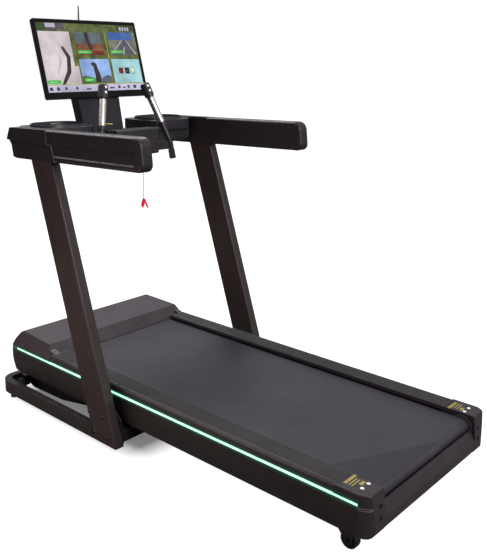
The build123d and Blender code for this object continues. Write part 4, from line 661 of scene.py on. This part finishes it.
# ---------------------------------------------------------------- safety key and clip
KEY_RIDGE_SIDES = (0.5, 17.5)
KEY_RIDGE_DEPTHS = (455.9, 457.2)
KEY_RIDGE_MIDDLES = (1017.5, 1022, 1026.5)
KEY_RIDGE_HALF = 0.8
bm = bmesh.new()
for middle in KEY_RIDGE_MIDDLES:
    low = (KEY_RIDGE_SIDES[0], KEY_RIDGE_DEPTHS[0], middle - KEY_RIDGE_HALF)
    high = (KEY_RIDGE_SIDES[1], KEY_RIDGE_DEPTHS[1], middle + KEY_RIDGE_HALF)
    block(bm, low, high)
add_piece("key_ridges", bm, looks["safety_key"], "safety_key")

CLIP_TURN = math.radians(45)
CLIP_ORIGIN = Vector(cord_points[-1])
CLIP_ACROSS = Vector((math.cos(CLIP_TURN), -math.sin(CLIP_TURN), 0))
CLIP_PIN = Vector((-math.sin(CLIP_TURN), -math.cos(CLIP_TURN), 0))


def on_clip(across, up, along):
    """A place on the clip: across it, up from the cord's end, and along its hinge pin."""
    return CLIP_ORIGIN + CLIP_ACROSS * across + Vector((0, 0, up)) + CLIP_PIN * along


COIL_MIDDLE = (6, -15)
COIL_RADIUS = 3.2
COIL_TURNS = 3
COIL_STEPS = 16
COIL_START = 5.5
COIL_REACH = 0.9
SPRING_WIRE = 0.4
SPRING_LEG = ((9.2, -15, 5.6), (6, -20, 5.6), (1, -28, 5.5), (-4, -35, 5.5), (-5, -38, 4.5))
spring_look = brushed("spring_steel", (0.55, 0.55, 0.56), (0.8, 0.8, 0.8), 0.25)
bm = bmesh.new()
for face in (-1, 1):
    coil = []
    for index in range(COIL_TURNS * COIL_STEPS + 1):
        turn = 2 * math.pi * index / COIL_STEPS
        across = COIL_MIDDLE[0] + COIL_RADIUS * math.cos(turn)
        up = COIL_MIDDLE[1] + COIL_RADIUS * math.sin(turn)
        along = COIL_START + COIL_REACH * index / (COIL_TURNS * COIL_STEPS)
        coil.append(on_clip(across, up, face * along))
    wire(bm, coil, SPRING_WIRE)
wire(bm, [on_clip(*place) for place in SPRING_LEG], SPRING_WIRE)
add_piece("clip_spring", bm, spring_look, "safety_key", smooth=True)

# ---------------------------------------------------------------- screen picture
SKY = picture("tile_sky", srgb(120, 150, 196), srgb(150, 176, 214), 12)
DEEP_SKY = picture("tile_deep_sky", srgb(52, 78, 136), srgb(72, 98, 156), 14)
MIST = picture("tile_mist", srgb(182, 180, 184), srgb(202, 200, 204), 10)
WARM = picture("tile_warm_grey", srgb(176, 168, 168), srgb(192, 184, 184), 8)
EARTH = picture("tile_earth", srgb(96, 60, 44), srgb(140, 92, 58), 22)
RUST = picture("tile_rust", srgb(104, 38, 30), srgb(132, 56, 40), 26)
BARK = picture("tile_bark", srgb(46, 38, 40), srgb(66, 56, 58), 40)
ROAD = picture("tile_road", srgb(74, 72, 80), srgb(96, 94, 102), 30)
ROADSIDE = picture("tile_roadside", srgb(96, 104, 88), srgb(128, 132, 118), 26)
HILL = picture("tile_hill", srgb(58, 92, 44), srgb(88, 124, 60), 24)
FAR_HILL = picture("tile_far_hill", srgb(74, 84, 88), srgb(92, 104, 106), 24)
TEAL = picture("tile_teal", srgb(142, 186, 190), srgb(158, 200, 202), 8)
PILL = picture("tile_pill", srgb(58, 158, 62), srgb(74, 178, 78), 20)
LIME = picture("tile_lime", srgb(136, 150, 36), srgb(170, 180, 48), 20)
BAR = picture("tile_bar", srgb(164, 160, 180), srgb(180, 176, 194), 10)
INK = picture("tile_ink", srgb(52, 50, 72), srgb(74, 72, 94), 30)
SLATE = picture("tile_slate", srgb(72, 68, 72), srgb(86, 82, 86), 12)
CHALK = picture("tile_chalk", srgb(196, 196, 192), srgb(214, 214, 210), 20)
GARNET = picture("tile_garnet", srgb(94, 28, 34), srgb(116, 40, 46), 20)
JET = picture("tile_jet", srgb(24, 24, 26), srgb(36, 36, 38), 20)
SHADE = picture("tile_shade", srgb(46, 62, 34), srgb(64, 82, 44), 40)


def rect(left, low, right, high):
    """An outline of an upright rectangle."""
    return [(left, low), (right, low), (right, high), (left, high)]


def pill(left, low, right, high):
    """A rectangle with rounded ends."""
    radius = (high - low) / 2
    ends = []
    for centre, start in ((right - radius, -90), (left + radius, 90)):
        for step in range(7):
            turn = math.radians(start + 30 * step)
            ends.append((centre + radius * math.cos(turn), low + radius + radius * math.sin(turn)))
    return ends


LAYER = 0.14  # how much further out each layer of the picture stands
# (name, material, layer, outlines): a higher layer lies over a lower one
PICTURE = [
    ("top_shade", SHADE, 1, [
        rect(-246, 268, -150, 304),
        rect(150, 280, 246, 304),
        rect(238, 60, 246, 280),
    ]),
    ("top_block", SLATE, 2, [rect(-202, 277, -116, 304)]),
    ("top_label", BAR, 3, [rect(-204, 286, -158, 303)]),
    ("top_marks", BAR, 2, [rect(left, 281, left + 9, 296) for left in (166, 180, 194, 208)]),
    ("tall_tile", WARM, 2, [[(-244, 56), (-100, 56), (-97, 270), (-244, 270)], rect(-104, 56, -80, 130)]),
    ("tall_tile_sweep", BARK, 3, [
        [
            (-176, 56), (-160, 56), (-122, 104), (-112, 168),
            (-138, 210), (-150, 208), (-130, 164), (-140, 112),
        ],
    ]),
    ("tall_tile_sweep_light", MIST, 4, [
        [
            (-190, 100), (-182, 96), (-156, 150), (-160, 200),
            (-172, 226), (-180, 222), (-172, 196), (-168, 152),
        ],
    ]),
    ("field_tile", FAR_HILL, 2, [rect(-75, 222, 62, 269)]),
    ("field_tile_ground", EARTH, 2, [rect(-75, 192, 62, 222)]),
    ("field_tile_soil", RUST, 2, [rect(-75, 175, 62, 192)]),
    ("field_tile_trunk", BARK, 3, [
        [(-26, 269), (-6, 269), (-4, 240), (6, 206), (2, 192), (-12, 200), (-20, 232)],
    ]),
    ("road_tile_sky", DEEP_SKY, 2, [rect(93, 240, 222, 273)]),
    ("road_tile_bank", ROADSIDE, 2, [
        [(93, 176), (243, 176), (243, 273), (222, 273), (222, 240), (93, 240)],
    ]),
    ("road_tile_road", ROAD, 3, [[(96, 176), (236, 176), (188, 240), (170, 240)]]),
    ("road_tile_lines", CHALK, 4, [
        [(100, 180), (104, 180), (171, 240), (169, 240)],
        [(229, 180), (234, 180), (189, 240), (187, 240)],
        [(163, 180), (167, 180), (176, 212), (174, 212)],
    ]),
    ("sky_tile", SKY, 2, [rect(-73, 61, 77, 158)]),
    ("sky_tile_hill", HILL, 3, [[(-73, 61), (10, 61), (4, 76), (-30, 84), (-60, 90), (-73, 86)]]),
    ("sky_tile_far_hill", FAR_HILL, 3, [[(14, 61), (77, 61), (77, 86), (58, 92), (34, 84), (18, 72)]]),
    ("sky_tile_rock", BARK, 4, [
        [(-8, 61), (16, 61), (22, 84), (14, 112), (8, 140), (-8, 148), (-20, 138), (-8, 126), (-6, 96)],
    ]),
    ("teal_tile", TEAL, 2, [rect(91, 57, 241, 158)]),
    ("teal_tile_first", GARNET, 3, [rect(121, 96, 145, 122)]),
    ("teal_tile_second", JET, 3, [rect(154, 95, 178, 122)]),
    ("teal_tile_third", PILL, 3, [rect(186, 95, 208, 122)]),
    ("teal_tile_third_face", CHALK, 4, [rect(189, 98, 205, 119)]),
    ("teal_tile_second_face", SLATE, 4, [circle((166, 108), 6, 12)]),
    ("pills", PILL, 4, [
        pill(-243, 59, -178, 74),
        pill(-72, 180, -2, 195),
        pill(96, 182, 166, 197),
        pill(-64, 65, -8, 79),
    ]),
    ("pill_words", CHALK, 5, [
        rect(-232, 65.5, -196, 67.5),
        rect(-62, 186.5, -18, 188.5),
        rect(106, 188.5, 152, 190.5),
        rect(-56, 71, -20, 73),
    ]),
    ("lime_lines", LIME, 3, [rect(-244, 54, 246, 56.5), rect(80, 160, 84, 270)]),
    ("bottom_bar", BAR, 2, [rect(-246, 25.6, 246, 53.5)]),
    ("bar_icons", INK, 3, [
        rect(-238, 32, -224, 45),
        rect(-206, 32, -192, 46),
        rect(-166, 34, -156, 46),
        rect(-114, 34, -104, 46),
        rect(-64, 32, -40, 38),
        rect(56, 34, 80, 40),
        rect(100, 34, 112, 46),
        rect(124, 34, 138, 40),
        rect(150, 34, 162, 46),
        rect(182, 32, 198, 46),
    ]),
]
for name, look, layer, outlines in PICTURE:
    bm = bmesh.new()
    for outline in outlines:
        prism(bm, outline, on_screen, 0.0, LAYER * layer)
    add_piece(f"screen_{name}", bm, look, "base")

# ---------------------------------------------------------------- floor
FLOOR_HALF = 14
FLOOR_DROP = 0.0006  # the floor lies this far under the feet, so that the faces don't coincide
# the ground that the machine covers, where less floor glow paints its shadow: its middle and half its
# size along x and y, and how soft its edge is
COVERED_MIDDLE = (0.0, 0.43)
COVERED_HALF = (0.44, 0.43)
COVERED_SOFT = 0.10
OPEN_GLOW = 0.98
# the floor's glow under the machine, kept low to paint its shadow there
PAINTED_SHADOW_GLOW = 0.18
FLOOR_SEEN = (0.26, 0.26, 0.26)
FLOOR_REFLECTED = (0.16, 0.135, 0.13)


def painted_shadow_mask(tree):
    """Painted shadow: 1 on the ground under the machine's front half, fading to 0 outside it."""
    x, y, _ = axis_values(tree)
    sides = []
    for value, middle, half in zip((x, y), COVERED_MIDDLE, COVERED_HALF):
        away = arithmetic(tree, "ABSOLUTE", arithmetic(tree, "SUBTRACT", value, middle))
        sides.append(remap(tree, away, half - COVERED_SOFT, half, 1, 0))
    return arithmetic(tree, "MULTIPLY", sides[0], sides[1])


floor_mesh = bpy.data.meshes.new("floor")
floor_bm = bmesh.new()
bmesh.ops.create_grid(floor_bm, x_segments=1, y_segments=1, size=FLOOR_HALF)
floor_bm.to_mesh(floor_mesh)
floor_bm.free()
floor = bpy.data.objects.new("floor", floor_mesh)
floor.location = (0, 0, -FLOOR_DROP)
bpy.context.scene.collection.objects.link(floor)

# the camera sees a pale floor with a painted shadow under the machine; what the machine reflects of it is
# darker
floor_look = bpy.data.materials.new("floor")
floor_look.use_nodes = True
floor_tree = floor_look.node_tree
floor_tree.nodes.clear()
floor_path = floor_tree.nodes.new("ShaderNodeLightPath")
pale_paint = floor_tree.nodes.new("ShaderNodeBsdfDiffuse")
pale_paint.inputs["Color"].default_value = (*FLOOR_SEEN, 1)
lift = floor_tree.nodes.new("ShaderNodeEmission")
lift.inputs["Color"].default_value = (1, 1, 1, 1)
lift_change = PAINTED_SHADOW_GLOW - OPEN_GLOW
lift_strength = arithmetic(floor_tree, "MULTIPLY_ADD", painted_shadow_mask(floor_tree), lift_change, OPEN_GLOW)
floor_tree.links.new(lift_strength, lift.inputs["Strength"])
seen_floor = floor_tree.nodes.new("ShaderNodeAddShader")
floor_tree.links.new(pale_paint.outputs[0], seen_floor.inputs[0])
floor_tree.links.new(lift.outputs[0], seen_floor.inputs[1])
bounce_paint = floor_tree.nodes.new("ShaderNodeBsdfDiffuse")
bounce_paint.inputs["Color"].default_value = (*FLOOR_REFLECTED, 1)
floor_pick = floor_tree.nodes.new("ShaderNodeMixShader")
floor_tree.links.new(floor_path.outputs["Is Camera Ray"], floor_pick.inputs[0])
floor_tree.links.new(bounce_paint.outputs[0], floor_pick.inputs[1])
floor_tree.links.new(seen_floor.outputs[0], floor_pick.inputs[2])
floor_output = floor_tree.nodes.new("ShaderNodeOutputMaterial")
floor_tree.links.new(floor_pick.outputs[0], floor_output.inputs["Surface"])
floor_mesh.materials.append(floor_look)

# ---------------------------------------------------------------- studio
# seen by the camera the studio is white; the machine reflects one that is dark on its left and front,
# bright on its right and rear, and brightest overhead
DARK_SIDE = (0.03, 0.022, 0.021)
BRIGHT_SIDE = (0.66, 0.63, 0.70)
OVERHEAD = (1.0, 0.96, 1.02)
BRIGHT_TOWARDS = (0.62, 0.58)  # how far the brightest side is turned to the right and to the rear
OVERHEAD_SPAN = (0.55, 0.85)  # where the overhead tone starts and is full, 1 being straight up
world = bpy.data.worlds.new("studio")
world.use_nodes = True
sky = world.node_tree
backdrop = sky.nodes["Background"]
backdrop.inputs["Strength"].default_value = 1.0
sky_path = sky.nodes.new("ShaderNodeLightPath")
sky_coords = sky.nodes.new("ShaderNodeTexCoord")
sky_split = sky.nodes.new("ShaderNodeSeparateXYZ")
sky.links.new(sky_coords.outputs["Generated"], sky_split.inputs["Vector"])
sideways = arithmetic(sky, "MULTIPLY", sky_split.outputs["X"], BRIGHT_TOWARDS[0])
forwards = arithmetic(sky, "MULTIPLY", sky_split.outputs["Y"], BRIGHT_TOWARDS[1])
across = remap(sky, arithmetic(sky, "SUBTRACT", sideways, forwards), -0.9, 0.9, 0, 1)
level_tone = blend_colours(sky, across, DARK_SIDE, BRIGHT_SIDE)
upward = remap(sky, sky_split.outputs["Z"], *OVERHEAD_SPAN, 0, 1)
studio_tone = blend_colours(sky, upward, level_tone, OVERHEAD)
seen_tone = blend_colours(sky, sky_path.outputs["Is Camera Ray"], studio_tone, (1, 1, 1))
sky.links.new(seen_tone, backdrop.inputs["Color"])
bpy.context.scene.world = world


def area_light(name, place, target, size, power, colour):
    """A rectangular lamp that faces its target and doesn't show in the picture."""
    data = bpy.data.lights.new(name, "AREA")
    data.shape = "RECTANGLE"
    data.size, data.size_y = size
    data.energy = power
    data.color = colour
    light = bpy.data.objects.new(name, data)
    light.location = place
    light.visible_camera = False
    light.rotation_euler = (Vector(target) - Vector(place)).to_track_quat("-Z", "Y").to_euler()
    bpy.context.scene.collection.objects.link(light)


area_light("key_light", (-0.4, -3.8, 2.7), (0, 0, 0.4), (2.4, 2.0), 160, (1.0, 0.98, 1.0))
area_light("top_light", (0.9, 2.2, 3.4), (0, 0.2, 0.3), (3.0, 1.2), 78, (0.97, 0.97, 1.0))
area_light("left_fill", (-1.8, 0.7, 0.2), (-0.4, 0.3, 0.2), (1.2, 0.6), 10, (1.0, 0.80, 0.70))
area_light("edge_light", (-1.0, 2.4, 2.7), (-0.3, 0, 0.3), (3.4, 0.5), 26, (1.0, 0.98, 1.0))
bpy.context.scene.view_settings.view_transform = "Standard"
